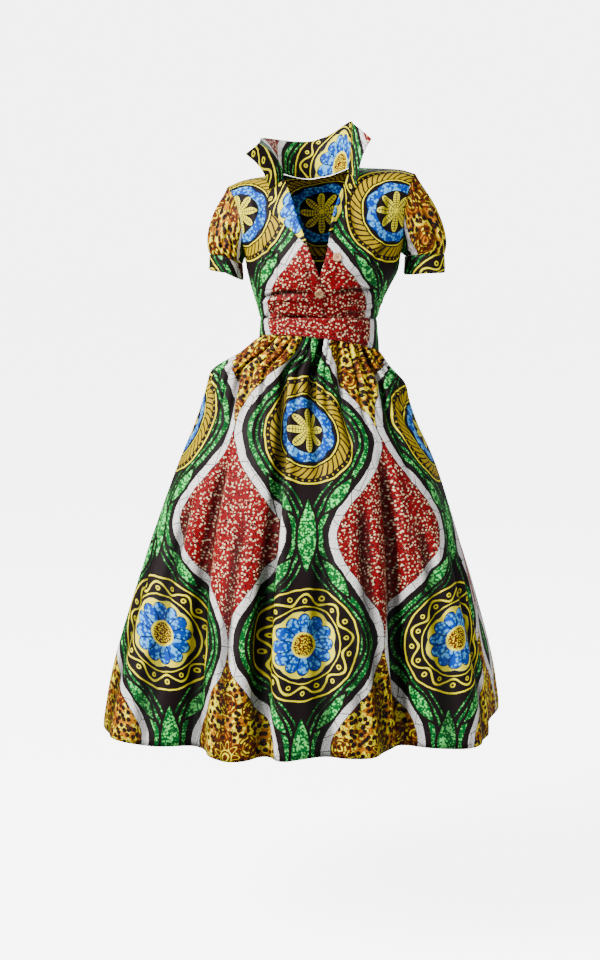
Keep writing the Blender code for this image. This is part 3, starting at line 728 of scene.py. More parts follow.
@dataclass
class PocketForm:
    """A pocket bag, hung in the side-seam mouth of the skirt and shut at its end."""

    skirt: SkirtForm
    side: Side
    loop: int = 16
    rows: int = 11
    inset: float = 0.0028
    mouth: tuple[float, float] = (0.035, 0.205)
    shape: Table = field(default_factory=lambda: Table(
        "inward forward down lean height thick",
        (0.00, 0.000, 0.000, 0.000, 1.00, 1.00, 1.00),
        (0.25, 0.018, 0.006, 0.008, 0.80, 1.00, 0.98),
        (0.50, 0.040, 0.018, 0.026, 0.55, 0.95, 0.96),
        (0.75, 0.062, 0.030, 0.046, 0.40, 0.86, 1.00),
        (1.00, 0.078, 0.038, 0.060, 0.34, 0.74, 1.05)))

    def edge_point(self, face: Face, drop: float) -> Vector:
        """A point on the CAD panel's edge, which runs straight from row to row.

        Args:
            face: the panel.
            drop: the share of the way to the hem.

        Returns:
            The point.
        """
        level = (1.0 - drop ** (1.0 / self.skirt.row_crowding)) * self.rows
        below = int(level)
        ends = []
        for row in (below, below + 1):
            at_row = self.skirt.drop_of(row / self.rows)
            reach = self.skirt.side_limit(face, at_row)
            angle = reach if face is Face.FRONT else 180.0 - reach
            ends.append(self.skirt.point(self.side.hand * angle, at_row, face))
        return ends[0].lerp(ends[1], level - below)

    def mouth_point(self, turn: float) -> Vector:
        """The mouth's outline: down the front panel's edge and up the back panel's."""
        first, last = self.mouth
        share = turn * 2.0 if turn < 0.5 else 2.0 - turn * 2.0
        drop = first + (last - first) * (0.5 - 0.5 * math.cos(math.pi * share))
        edge = self.edge_point(Face.FRONT if turn < 0.5 else Face.BACK, drop)
        return edge + Vector((-self.side.hand * self.inset, 0.0, 0.0))

    def sheet(self) -> Place:
        """The place function of the bag, carried in, forward and down from the mouth.

        Returns:
            The function, from the sheet's shares to a point.
        """
        centre = sum((self.mouth_point(i / self.loop) for i in range(self.loop)),
                     Vector()) / self.loop

        def place(across: float, share: float) -> Vector:
            """The bag's point at a place of the sheet."""
            turn = across if self.side is Side.RIGHT else 1.0 - across
            offset = self.mouth_point(turn % 1.0) - centre
            lean = self.shape.at("lean", share)
            thick = self.shape.at("thick", share)
            height = self.shape.at("height", share)
            move = Vector((-self.side.hand * self.shape.at("inward", share),
                           -self.shape.at("forward", share), -self.shape.at("down", share)))
            return centre + Vector((offset.x * lean, offset.y * thick, offset.z * height)) + move
        return place


# Shader building

def operation(name: str, mirrored: bool = False) -> Callable[..., "Value"]:
    """A method of Value that adds one Math node.

    Args:
        name: the node's operation.
        mirrored: whether the value comes after the other one, as it does in 1 - value.

    Returns:
        The method.
    """
    def method(self: "Value", *others: "Value | float") -> "Value":
        """The node's output for this value and the others."""
        return self.maths(name, *others, self) if mirrored else self.maths(name, self, *others)
    return method


class Value:
    """A number on a shader socket; an expression on such values adds its Math nodes.

    folded carries it back and forth below a scale, and turn_from is atan2 of it and a distance
    across.
    """

    __add__ = __radd__ = operation("ADD")
    __sub__ = operation("SUBTRACT")
    __rsub__ = operation("SUBTRACT", mirrored=True)
    __mul__ = __rmul__ = operation("MULTIPLY")
    __truediv__ = operation("DIVIDE")
    __pow__ = operation("POWER")
    __gt__ = operation("GREATER_THAN")
    size = operation("ABSOLUTE")
    sine = operation("SINE")
    cosine = operation("COSINE")
    root = operation("SQRT")
    floor = operation("FLOOR")
    fraction = operation("FRACT")
    folded = operation("PINGPONG")
    turn_from = operation("ARCTAN2")
    least = operation("MINIMUM")
    most = operation("MAXIMUM")

    def __init__(self, graph: "Graph", socket: bpy.types.NodeSocket) -> None:
        """Wrap one output socket of a graph."""
        self.graph = graph
        self.socket = socket

    def maths(self, name: str, *values: "Value | float") -> "Value":
        """Add one Math node.

        Args:
            name: the node's operation.
            values: the node's sockets in order.

        Returns:
            The node's output.
        """
        node = self.graph.node("ShaderNodeMath", {"operation": name}, dict(enumerate(values)))
        return Value(self.graph, node.outputs[0])

    def is_odd(self) -> "Value":
        """1 where this whole number is odd, else 0."""
        return (self * 0.5).fraction() > 0.25

    def choose(self, first: float, second: float) -> "Value":
        """The first number where this value is 0 and the second where it is 1."""
        return first + (second - first) * self

    def wrapped(self, half: float) -> "Value":
        """The value carried into the range from -half to half."""
        return self.maths("WRAP", self, half, -half)

    def step(self, low: float, high: float) -> "Value":
        """A smooth rise from 0 at low to 1 at high; a fall where low is the larger."""
        node = self.graph.node("ShaderNodeMapRange", {"interpolation_type": "SMOOTHSTEP"},
                               {"Value": self, "From Min": low, "From Max": high})
        return Value(self.graph, node.outputs["Result"])

    def between(self, low: float, high: float) -> "Value":
        """1 between two limits, with edges a little soft, and 0 outside them."""
        soft = self.graph.softness
        return self.step(low - soft, low + soft) * self.step(high + soft, high - soft)

    def below(self, limit: float) -> "Value":
        """1 below a limit, with an edge a little soft."""
        return self.step(limit + self.graph.softness, limit - self.graph.softness)


class Graph:
    """One material's nodes."""

    def __init__(self, name: str, softness: float = 0.0004) -> None:
        """Make a material with a principled shader and nothing else.

        Args:
            name: the material's name.
            softness: half the width of a printed edge, in metres of cloth.
        """
        self.material = bpy.data.materials.new(name)
        self.material.use_nodes = True
        self.material.node_tree.nodes.clear()
        self.softness = softness
        self.coords = None
        self.shader = self.node("ShaderNodeBsdfPrincipled", {}, {})
        self.node("ShaderNodeOutputMaterial", {}, {"Surface": self.shader.outputs[0]})

    def node(self, kind: str, settings: dict, sockets: dict) -> bpy.types.Node:
        """Add any node.

        Args:
            kind: the node's type.
            settings: its own settings, set first.
            sockets: the values or links of its sockets, by name or number.

        Returns:
            The node.
        """
        node = self.material.node_tree.nodes.new(kind)
        for name, setting in settings.items():
            setattr(node, name, setting)
        for name, given in sockets.items():
            self.plug(node.inputs[name], given)
        return node

    def plug(self, socket: bpy.types.NodeSocket, given: object) -> None:
        """Link a value or another node's output to a socket, or set the socket to a constant.

        Args:
            socket: the socket.
            given: a value, another node's socket or a constant.
        """
        if isinstance(given, Value):
            given = given.socket
        if isinstance(given, bpy.types.NodeSocket):
            self.material.node_tree.links.new(given, socket)
        elif isinstance(given, tuple) and len(given) == 3 and socket.type == "RGBA":
            socket.default_value = (*given, 1.0)
        else:
            socket.default_value = given

    def set(self, sockets: dict[str, object]) -> None:
        """Set or link sockets of the principled shader."""
        for name, given in sockets.items():
            self.plug(self.shader.inputs[name], given)

    def mix(self, factor: "Value | float", first: object, second: object) -> bpy.types.NodeSocket:
        """A colour between two, first where factor is 0 and second where it is 1."""
        node = self.node("ShaderNodeMix", {"data_type": "RGBA", "clamp_factor": True},
                         {0: factor, 6: first, 7: second})
        return node.outputs[2]

    def noise(self, scale: float, detail: float = 2.0,
              roughness: float = 0.5) -> Value:
        """Soft cloudy noise from 0 to 1."""
        node = self.node("ShaderNodeTexNoise", {"noise_dimensions": "2D"},
                         {"Vector": self.coords, "Scale": scale, "Detail": detail,
                          "Roughness": roughness})
        return Value(self, node.outputs[0])

    def cells(self, scale: float, feature: str = "F1",
              randomness: float = 1.0) -> Value:
        """The distance to scattered cell centres, or to the cells' edges."""
        node = self.node("ShaderNodeTexVoronoi",
                         {"voronoi_dimensions": "2D", "feature": feature},
                         {"Vector": self.coords, "Scale": scale, "Randomness": randomness})
        return Value(self, node.outputs["Distance"])

    def split(self, vector: object) -> tuple[Value, Value, Value]:
        """The three numbers of a vector."""
        node = self.node("ShaderNodeSeparateXYZ", {}, {0: vector})
        return tuple(Value(self, socket) for socket in node.outputs)

    def vector(self, operation: str, *given: object) -> bpy.types.NodeSocket:
        """Add one Vector Math node; a scale is given by its own number after the vector."""
        node = self.node("ShaderNodeVectorMath", {"operation": operation}, {})
        for socket, value in zip(node.inputs, given):
            self.plug(socket, value)
        return node.outputs[0]

    def bump(self, height: Value, strength: float, distance: float,
             under: object = None) -> bpy.types.NodeSocket:
        """A bump of a given distance in metres, on top of another one if that is given."""
        sockets = {"Height": height, "Strength": strength, "Distance": distance}
        if under is not None:
            sockets["Normal"] = under
        return self.node("ShaderNodeBump", {}, sockets).outputs[0]


# Finishes

@dataclass(frozen=True)
class Medallion:
    """The measures of both kinds of medallion, in metres from the middle.

    Even rows have a running wave with dots and a flower, odd rows a rope with beads and a star. A
    pair that says so holds the flower's measure and the star's.
    """

    radius: float = 0.104
    halo: float = 0.0040
    line: float = 0.0030
    rope: tuple[float, float] = (0.0740, 0.0925)
    strands: float = 40.0
    strand_lean: float = 420.0
    bead_ring: float = 0.0968
    bead_half_turn: float = math.pi / 48.0
    bead_radius: float = 0.0019
    waves: float = 9.0
    wave_ring: float = 0.0845
    wave_height: float = 0.0085
    wave_half: float = 0.0021
    dot_half_turn: float = math.pi / 18.0
    dot_swing: float = 0.0035
    dot: tuple[float, float] = (0.0022, 0.0046)
    inner_line: tuple[float, float] = (0.0690, 0.0712)
    scallops: float = 4.0
    scallop_ring: float = 0.0585
    scallop_height: float = 0.0050
    outline: float = 0.0022
    star_ground: float = 0.0440
    flower_star_petals: tuple[float, float] = (6.0, 4.0)
    flower_star_ring: tuple[float, float] = (0.0450, 0.0050)
    flower_star_height: tuple[float, float] = (0.0100, 0.0370)
    petal_power: float = 0.7
    hatch: float = 1250.0
    hatch_half: float = 0.0300
    hatch_depth: float = 0.8
    rib_half: float = 0.0030
    gap_half: float = 0.0062
    heart: tuple[float, float] = (0.0235, 0.0060)
    core: float = 0.0195


@dataclass(frozen=True)
class WaxPrint:
    """A waxed cotton print: medallions and gold or red cells in an ogee net.

    The pattern is a general one of its kind. Its measures are in metres of cloth, read from the
    piece's own UV map. The net is counted from its middle line, below 0 on the medallions' side.
    Dots hold a scale and a size, and clouds a scale and the share of their paler colour.
    """

    name: str = "wax_print"
    width: float = 0.330
    height: float = 0.400
    middle: float = 0.285
    swing: float = 0.165
    waver: tuple[float, float] = (26.0, 0.0060)
    field_edge: float = 0.0165
    white_from: float = 0.0005
    white_inside: float = 0.0012
    stripes: tuple = ((-0.0195, -0.0110), (-0.0300, -0.0260), (-0.0405, -0.0380))
    stripe_clouds: tuple[float, float] = (95.0, 0.44)
    crackle: float = 26.0
    white_dots: tuple[float, float] = (300.0, 0.22)
    gold_clouds: tuple[float, float] = (40.0, 0.56)
    gold_dots: tuple[float, float] = (92.0, 0.46)
    rust_dots: tuple[float, float] = (150.0, 0.24)
    ripples: tuple[float, float] = (15.0, 68.0)
    sun_rays: float = 9.0
    sun_radius: float = 0.026
    sun_swing: float = 0.007
    sun_edge: float = 0.0030
    sun_line: tuple[float, float] = (-0.0060, -0.0035)
    sun_rings: tuple = ((0.0055, 0.0085), (0.0120, 0.0140))
    grains: tuple[float, float] = (135.0, 50.0)
    flecks: float = 240.0
    red_dots: tuple[float, float] = (105.0, 0.21)
    leaf_clouds: tuple[float, float] = (85.0, 0.50)
    leaf_lean: float = 38.0
    leaf_at: tuple[float, float] = (0.056, 0.124)
    leaning_leaf: tuple[float, float] = (0.0105, 0.042)
    upright_leaf: tuple[float, float] = (0.0170, 0.066)
    leaf_halo: float = 0.0055
    plan: Medallion = Medallion()
    blue_clouds: tuple[float, float] = (60.0, 0.52)
    core_dots: tuple[float, float] = (260.0, 0.34)
    ground: tuple = (0.0085, 0.0042, 0.0046)
    green: tuple = (0.0003, 0.1000, 0.0150)
    mint: tuple = (0.16, 0.86, 0.18)
    yellow: tuple = (0.980, 0.840, 0.0004)
    straw: tuple = (0.450, 0.305, 0.001)
    blue: tuple = (0.0004, 0.050, 0.370)
    sky: tuple = (0.10, 0.46, 0.92)
    navy: tuple = (0.0008, 0.006, 0.040)
    gold: tuple = (0.440, 0.150, 0.0002)
    rust: tuple = (0.115, 0.018, 0.0002)
    red: tuple = (0.200, 0.0002, 0.0035)
    cream: tuple = (0.88, 0.72, 0.42)
    white: tuple = (0.86, 0.84, 0.80)
    washed: tuple = (0.84, 0.84, 0.86)
    roughness: float = 0.60
    specular: float = 0.09
    thread: float = 0.00045
    # How dark the painted shade makes the cloth where a crease or a rounded edge sinks it fully.
    painted_crease_shade: float = 0.72

    def material(self) -> bpy.types.Material:
        """Build the material.

        Returns:
            The finished material, for every piece of the printed cloth.
        """
        graph = Graph(self.name)
        uv = graph.node("ShaderNodeUVMap", {"uv_map": "cloth"}, {}).outputs[0]
        graph.coords = uv
        scale, reach = self.waver
        waver = graph.node("ShaderNodeTexNoise", {"noise_dimensions": "2D"},
                           {"Vector": uv, "Scale": scale, "Detail": 2.0}).outputs["Color"]
        hand = graph.vector("MULTIPLY", graph.vector("SUBTRACT", waver, (0.5, 0.5, 0.5)),
                            (reach, reach, 0.0))
        u, v, _ = graph.split(graph.vector("ADD", uv, hand))
        across = u / self.width
        along = v / self.height
        turn = along * (2.0 * math.pi)
        steep = self.swing * self.width * 2.0 * math.pi / self.height * turn.sine()
        net = across.folded(0.5) - self.middle + self.swing * turn.cosine()
        net = net * self.width / (1.0 + steep * steep).root()
        colour = self.field(graph, across, along)
        band = self.net_bands(graph, net)
        colour = graph.mix(net.step(self.field_edge + graph.softness,
                                    self.field_edge - graph.softness), colour, band)
        x = across.wrapped(0.5) * self.width
        y = (along - 0.5).wrapped(0.5) * self.height
        colour = self.leaves(graph, colour, x.size(), y.size())
        colour = self.medallion(graph, colour, along.floor().is_odd(), x, y)
        self.surface(graph, colour)
        return graph.material

    def speckle(self, graph: Graph, colour: object, spot: tuple,
                dots: tuple[float, float]) -> object:
        """Scatter small soft spots of another colour over a colour.

        Args:
            graph: the material's nodes.
            colour: the colour underneath.
            spot: the spots' colour.
            dots: how many lie on a metre, and their size.

        Returns:
            The mixed colour.
        """
        scale, size = dots
        return graph.mix(graph.cells(scale).step(size, size * 0.75), colour, spot)

    def mottled(self, graph: Graph, low: tuple, high: tuple,
                clouds: tuple[float, float]) -> object:
        """A bubbly two-tone colour, as wax leaves in a dye bath.

        Args:
            graph: the material's nodes.
            low: the main colour.
            high: the colour of the bubbles.
            clouds: how many lie on a metre, and how much of the high colour shows.

        Returns:
            The mixed colour.
        """
        scale, amount = clouds
        cloud = graph.noise(scale, 2.0, 0.6)
        bubble = graph.cells(scale * 2.4)
        return graph.mix((cloud - bubble * 0.60 + amount - 0.5).step(0.22, 0.42), low, high)

    def field(self, graph: Graph, across: Value, along: Value) -> object:
        """The gold cells in even rows and the red ones in odd rows.

        Args:
            graph: the material's nodes.
            across: the place in widths of the print.
            along: the place in heights of the print.

        Returns:
            The cells' colour.
        """
        x = (across - 0.5).wrapped(0.5) * self.width
        y = along.wrapped(0.5) * self.height
        red = self.red_cells(graph)
        return graph.mix((along + 0.5).floor().is_odd(), self.gold_cells(graph, x, y), red)

    def gold_cells(self, graph: Graph, x: Value, y: Value) -> object:
        """Mottled gold with dots, ripples and a sunburst in each cell's middle.

        Args:
            graph: the material's nodes.
            x: the metres across from the cell's middle.
            y: the metres up from it.

        Returns:
            The colour.
        """
        gold = self.mottled(graph, self.gold, self.yellow, self.gold_clouds)
        gold = self.speckle(graph, gold, self.ground, self.gold_dots)
        gold = self.speckle(graph, gold, self.rust, self.rust_dots)
        scale, rings = self.ripples
        flare = graph.cells(scale, randomness=0.55)
        ripple = (flare * rings).sine().step(-0.3, 0.3) * flare.step(0.36, 0.31)
        gold = graph.mix(ripple, gold, self.rust)
        radius = (x * x + y * y).root()
        sun = radius - self.sun_radius - self.sun_swing * (y.turn_from(x) * self.sun_rays).cosine()
        gold = graph.mix(sun.below(self.sun_edge), gold, self.rust)
        gold = graph.mix(sun.between(*self.sun_line), gold, self.yellow)
        inner, outer = self.sun_rings
        return graph.mix(radius.between(*inner) + radius.between(*outer), gold, self.yellow)

    def red_cells(self, graph: Graph) -> object:
        """Red with cream grains and flecks and a few dark dots.

        Args:
            graph: the material's nodes.

        Returns:
            The colour.
        """
        fine, coarse = self.grains
        grain = graph.cells(fine).step(0.27, 0.20)
        grain = grain * graph.noise(coarse, 1.0).step(0.36, 0.50)
        red = graph.mix(grain, self.red, self.cream)
        red = self.speckle(graph, red, self.ground, self.red_dots)
        return graph.mix(graph.noise(self.flecks, 1.0).step(0.71, 0.75), red, self.cream)

    def net_bands(self, graph: Graph, net: Value) -> object:
        """The net: a crackled white band and green stripes on the dark ground.

        Args:
            graph: the material's nodes.
            net: the metres from the net's middle line.

        Returns:
            The net's colour.
        """
        green = self.mottled(graph, self.green, self.mint, self.stripe_clouds)
        stripes = sum((net.between(low, high) for low, high in self.stripes), start=0.0)
        colour = graph.mix(stripes, self.ground, green)
        crackle = graph.cells(self.crackle, "DISTANCE_TO_EDGE").step(0.022, 0.010)
        white = self.speckle(graph, self.white, self.navy, self.white_dots)
        white = graph.mix(crackle, white, self.ground)
        return graph.mix(net.between(self.white_from, self.field_edge - self.white_inside),
                         colour, white)

    def leaf_rim(self, across: Value, along: Value, leaf: tuple[float, float]) -> Value:
        """How far a place lies outside the outline of a leaf.

        Args:
            across: the metres across from the leaf's middle.
            along: the metres along it.
            leaf: half its width and half its length.

        Returns:
            The distance, below 0 inside the leaf.
        """
        half_width, half_length = leaf
        return across.size() - half_width + along * along * (half_width / half_length ** 2)

    def leaves(self, graph: Graph, colour: object, x: Value, y: Value) -> object:
        """An upright leaf between two medallions and four leaning ones round each of them.

        Args:
            graph: the material's nodes.
            colour: the colour underneath.
            x: the metres across from the medallion's middle.
            y: the metres up from it.

        Returns:
            The colour with the leaves on it.
        """
        green = self.mottled(graph, self.green, self.mint, self.leaf_clouds)
        lean = math.radians(self.leaf_lean)
        far_x = x - self.leaf_at[0]
        far_y = y - self.leaf_at[1]
        along = far_x * math.sin(lean) - far_y * math.cos(lean)
        across = far_x * math.cos(lean) + far_y * math.sin(lean)
        leaning = self.leaf_rim(across, along, self.leaning_leaf)
        upright = self.leaf_rim(x, self.height / 2.0 - y, self.upright_leaf)
        rim = leaning.least(upright)
        colour = graph.mix(rim.below(self.leaf_halo), colour, self.ground)
        return graph.mix(rim.below(0.0), colour, green)

    def medallion(self, graph: Graph, colour: object, odd: Value, x: Value,
                  y: Value) -> object:
        """A dark disc with a yellow rim, a rope or a wave, and a flower or a star.

        Args:
            graph: the material's nodes.
            colour: the colour underneath.
            odd: 1 in odd rows and 0 in even ones.
            x: the metres across from the medallion's middle.
            y: the metres up from it.

        Returns:
            The colour with the medallion on it.
        """
        plan = self.plan
        radius = (x * x + y * y).root()
        angle = y.turn_from(x)
        colour = graph.mix(radius.below(plan.radius + plan.halo), colour, self.ground)
        colour = graph.mix(radius.below(plan.radius), colour, self.yellow)
        colour = graph.mix(radius.below(plan.radius - plan.line), colour, self.ground)
        rope = (angle * plan.strands + radius * plan.strand_lean).sine().step(-0.75, -0.35)
        rope = rope * radius.between(*plan.rope)
        bead = angle.wrapped(plan.bead_half_turn) * plan.bead_ring
        off = radius - plan.bead_ring
        beads = (bead * bead + off * off).root().below(plan.bead_radius)
        colour = graph.mix(odd * (rope + beads), colour, self.straw)
        wave = (angle * plan.waves).sine()
        line = (radius - plan.wave_ring - plan.wave_height * wave).size().below(plan.wave_half)
        beside = (angle - plan.dot_half_turn).wrapped(plan.dot_half_turn) * plan.wave_ring
        off = radius - plan.wave_ring + plan.dot_swing * wave
        dots = (beside * beside + off * off).root().between(*plan.dot)
        colour = graph.mix((1.0 - odd) * (line + dots) + radius.between(*plan.inner_line), colour,
                           self.yellow)
        return self.rosette(graph, colour, odd, radius, angle)

    def rosette(self, graph: Graph, colour: object, odd: Value, radius: Value,
                angle: Value) -> object:
        """The scalloped middle of a medallion, with its flower or its star.

        Args:
            graph: the material's nodes.
            colour: the colour underneath.
            odd: 1 where the star is, 0 where the flower is.
            radius: the metres from the medallion's middle.
            angle: the turn round it.

        Returns:
            The colour with the rosette on it.
        """
        plan = self.plan
        even = 1.0 - odd
        blue = self.mottled(graph, self.blue, self.sky, self.blue_clouds)
        scallop = (radius - plan.scallop_ring
                   - plan.scallop_height * (angle * plan.scallops).sine().size())
        colour = graph.mix(scallop.below(plan.outline), colour, self.navy)
        colour = graph.mix(scallop.below(0.0), colour, graph.mix(odd, self.yellow, blue))
        colour = graph.mix(odd * radius.below(plan.star_ground), colour, self.ground)
        petals = odd.choose(*plan.flower_star_petals)
        lobe = (angle * petals).cosine().size() ** plan.petal_power
        shape = (radius - odd.choose(*plan.flower_star_ring)
                 - odd.choose(*plan.flower_star_height) * lobe)
        colour = graph.mix(shape.below(plan.outline), colour, self.navy)
        colour = graph.mix(shape.below(0.0), colour, graph.mix(odd, blue, self.yellow))
        rib = (angle * petals).sine().size() * radius
        gap = (angle * petals).cosine().size() * radius
        hatch = ((radius * plan.hatch).sine().step(0.1, 0.5) * rib.below(plan.hatch_half)
                 * shape.below(-0.0030))
        cut = (odd * (hatch * plan.hatch_depth).most(rib.below(plan.rib_half))
               + even * gap.below(plan.gap_half))
        colour = graph.mix(cut * shape.below(-0.0020), colour, self.navy)
        flower_heart, star_heart = plan.heart
        heart = even * radius.below(flower_heart) + odd * radius.below(star_heart)
        colour = graph.mix(heart, colour, self.yellow)
        core = self.speckle(graph, self.rust, self.yellow, self.core_dots)
        return graph.mix(even * radius.below(plan.core), colour, core)

    def surface(self, graph: Graph, colour: object) -> None:
        """Give the shader its colour, with painted shade where the creases and rounded edges sink
        the cloth, and its wear and weave.

        Args:
            graph: the material's nodes.
            colour: the print's colour.
        """
        # Wear: a washed tint at random. Painted shade: the trough layer darkens the colour towards
        # black where creases and rounded edges sink the cloth.
        worn = graph.noise(9.0, 3.0)
        wear_and_painted_shade = graph.mix(worn.step(0.25, 0.75), self.washed, (1.0, 1.0, 1.0))
        trough = graph.node("ShaderNodeAttribute", {"attribute_name": "trough"}, {}).outputs["Fac"]
        wear_and_painted_shade = graph.mix(Value(graph, trough) * self.painted_crease_shade, wear_and_painted_shade, (0.0, 0.0, 0.0))
        tint = graph.node("ShaderNodeMix", {"data_type": "RGBA", "blend_type": "MULTIPLY"},
                          {0: 1.0, 6: colour, 7: wear_and_painted_shade}).outputs[2]
        u, v, _ = graph.split(graph.coords)
        pace = math.pi / self.thread
        weave = (u * pace).sine() * (v * pace).sine() * 0.5 + graph.noise(900.0, 1.0)
        soft = graph.noise(60.0, 3.0)
        under = graph.bump(soft, 0.30, 0.0012)
        graph.set({"Base Color": tint, "Roughness": self.roughness + 0.16 * (soft - 0.5),
                   "Normal": graph.bump(weave, 0.25, 0.00008, under),
                   "Specular IOR Level": self.specular})


@dataclass(frozen=True)
class ButtonWood:
    """Pale turned wood with fine grain across its face."""

    name: str = "button_wood"
    pale: tuple = (0.560, 0.310, 0.150)
    dark: tuple = (0.430, 0.220, 0.100)
    grain: float = 900.0
    roughness: float = 0.42

    def material(self) -> bpy.types.Material:
        """Build the material.

        Returns:
            The finished material.
        """
        graph = Graph(self.name)
        place = graph.node("ShaderNodeTexCoord", {}, {}).outputs["Object"]
        long = graph.vector("MULTIPLY", place, (0.12, 1.0, 1.0))
        node = graph.node("ShaderNodeTexNoise", {"noise_dimensions": "3D"},
                          {"Vector": long, "Scale": self.grain, "Detail": 3.0})
        grain = Value(graph, node.outputs[0])
        graph.set({"Base Color": graph.mix(grain.step(0.35, 0.7), self.dark, self.pale),
                   "Roughness": self.roughness + 0.15 * grain, "Coat Weight": 0.25,
                   "Normal": graph.bump(grain, 0.3, 0.0002)})
        return graph.material


@dataclass(frozen=True)
class Thread:
    """Sewing thread, with its twist."""

    name: str
    colour: tuple
    roughness: float = 0.6

    def material(self) -> bpy.types.Material:
        """Build the material.

        Returns:
            The finished material.
        """
        graph = Graph(self.name)
        place = graph.node("ShaderNodeTexCoord", {}, {}).outputs["Object"]
        x, y, z = graph.split(place)
        twist = ((x + y + z) * 9000.0).sine() * 0.5 + 0.5
        pale = tuple(min(1.0, channel * 1.5 + 0.01) for channel in self.colour)
        graph.set({"Base Color": graph.mix(twist, self.colour, pale),
                   "Roughness": self.roughness, "Sheen Weight": 0.2,
                   "Normal": graph.bump(twist, 0.4, 0.0001)})
        return graph.material


# Making the cloth

@dataclass(frozen=True)
class Cut:
    """One piece's flat cut, grid, place in the print and finish, in metres."""

    replaces: str
    width: float
    length: float
    area: float
    held: str
    grid: tuple[int, int]
    print_at: tuple[float, float]
    slot: str = "print_cloth"
    wall: float = 0.0008
    # Rounded ends and sides sink the cloth along its edges, and the material darkens that sunk
    # cloth with painted shade.
    rounded: float = 0.0
    rounded_sides: float = 0.0


CUTS = {
    "front_right": Cut("bodice_front_right", 0.214, 0.317, 0.0492, "stretched", (130, 160),
                       (0.165, -0.105), "print_cloth", 0.0013, 0.0016, 0.0020),
    "front_left": Cut("bodice_front_left", 0.230, 0.339, 0.0580, "stretched", (130, 160),
                      (0.181, -0.083), "print_cloth", 0.0013, 0.0016, 0.0020),
    "back": Cut("bodice_back", 0.423, 0.317, 0.1128, "stretched", (200, 140), (0.0, -0.10),
                rounded=0.0016),
    "lapel_right": Cut("lapel_right", 0.048, 0.162, 0.0051, "folded", (20, 90), (0.02, 0.27),
                       "print_trim", 0.0014, 0.0006, 0.0016),
    "lapel_left": Cut("lapel_left", 0.024, 0.147, 0.0023, "folded", (20, 90), (0.02, 0.27),
                      "print_trim", 0.0014, 0.0006, 0.0016),
    "collar": Cut("collar", 0.480, 0.082, 0.0315, "folded", (208, 40), (0.06, 0.27),
                  "print_trim", 0.0014, 0.0010, 0.0012),
    "sleeve_right": Cut("sleeve_right", 0.374, 0.080, 0.0246, "gathered", (160, 70),
                        (0.165, 0.035)),
    "sleeve_left": Cut("sleeve_left", 0.398, 0.093, 0.0306, "gathered", (160, 70),
                       (0.165, 0.035)),
    "cuff_right": Cut("cuff_right", 0.275, 0.031, 0.0082, "folded", (160, 16), (0.02, 0.30),
                      "print_trim", rounded=0.0014),
    "cuff_left": Cut("cuff_left", 0.289, 0.036, 0.0102, "folded", (160, 16), (0.02, 0.30),
                     "print_trim", rounded=0.0014),
    "band_front": Cut("waistband_front", 0.344, 0.043, 0.0144, "stretched", (180, 16),
                      (0.165, -0.39), "print_trim", rounded=0.0016),
    "band_back": Cut("waistband_back", 0.329, 0.051, 0.0165, "stretched", (180, 16),
                     (0.165, -0.39), "print_trim", rounded=0.0016),
    "skirt_front": Cut("skirt_front", 1.300, 0.800, 0.7400, "gathered", (420, 96), (0.0, -0.01),
                       rounded=0.0014),
    "skirt_back": Cut("skirt_back", 1.240, 0.785, 0.6900, "gathered", (420, 96), (0.0, -0.01),
                      rounded=0.0014),
    "pocket_right": Cut("pocket_right", 0.347, 0.108, 0.0320, "hung", (64, 24), (0.0, 0.0),
                        "pocket_cloth"),
    "pocket_left": Cut("pocket_left", 0.310, 0.108, 0.0290, "hung", (64, 24), (0.0, 0.0),
                       "pocket_cloth")}


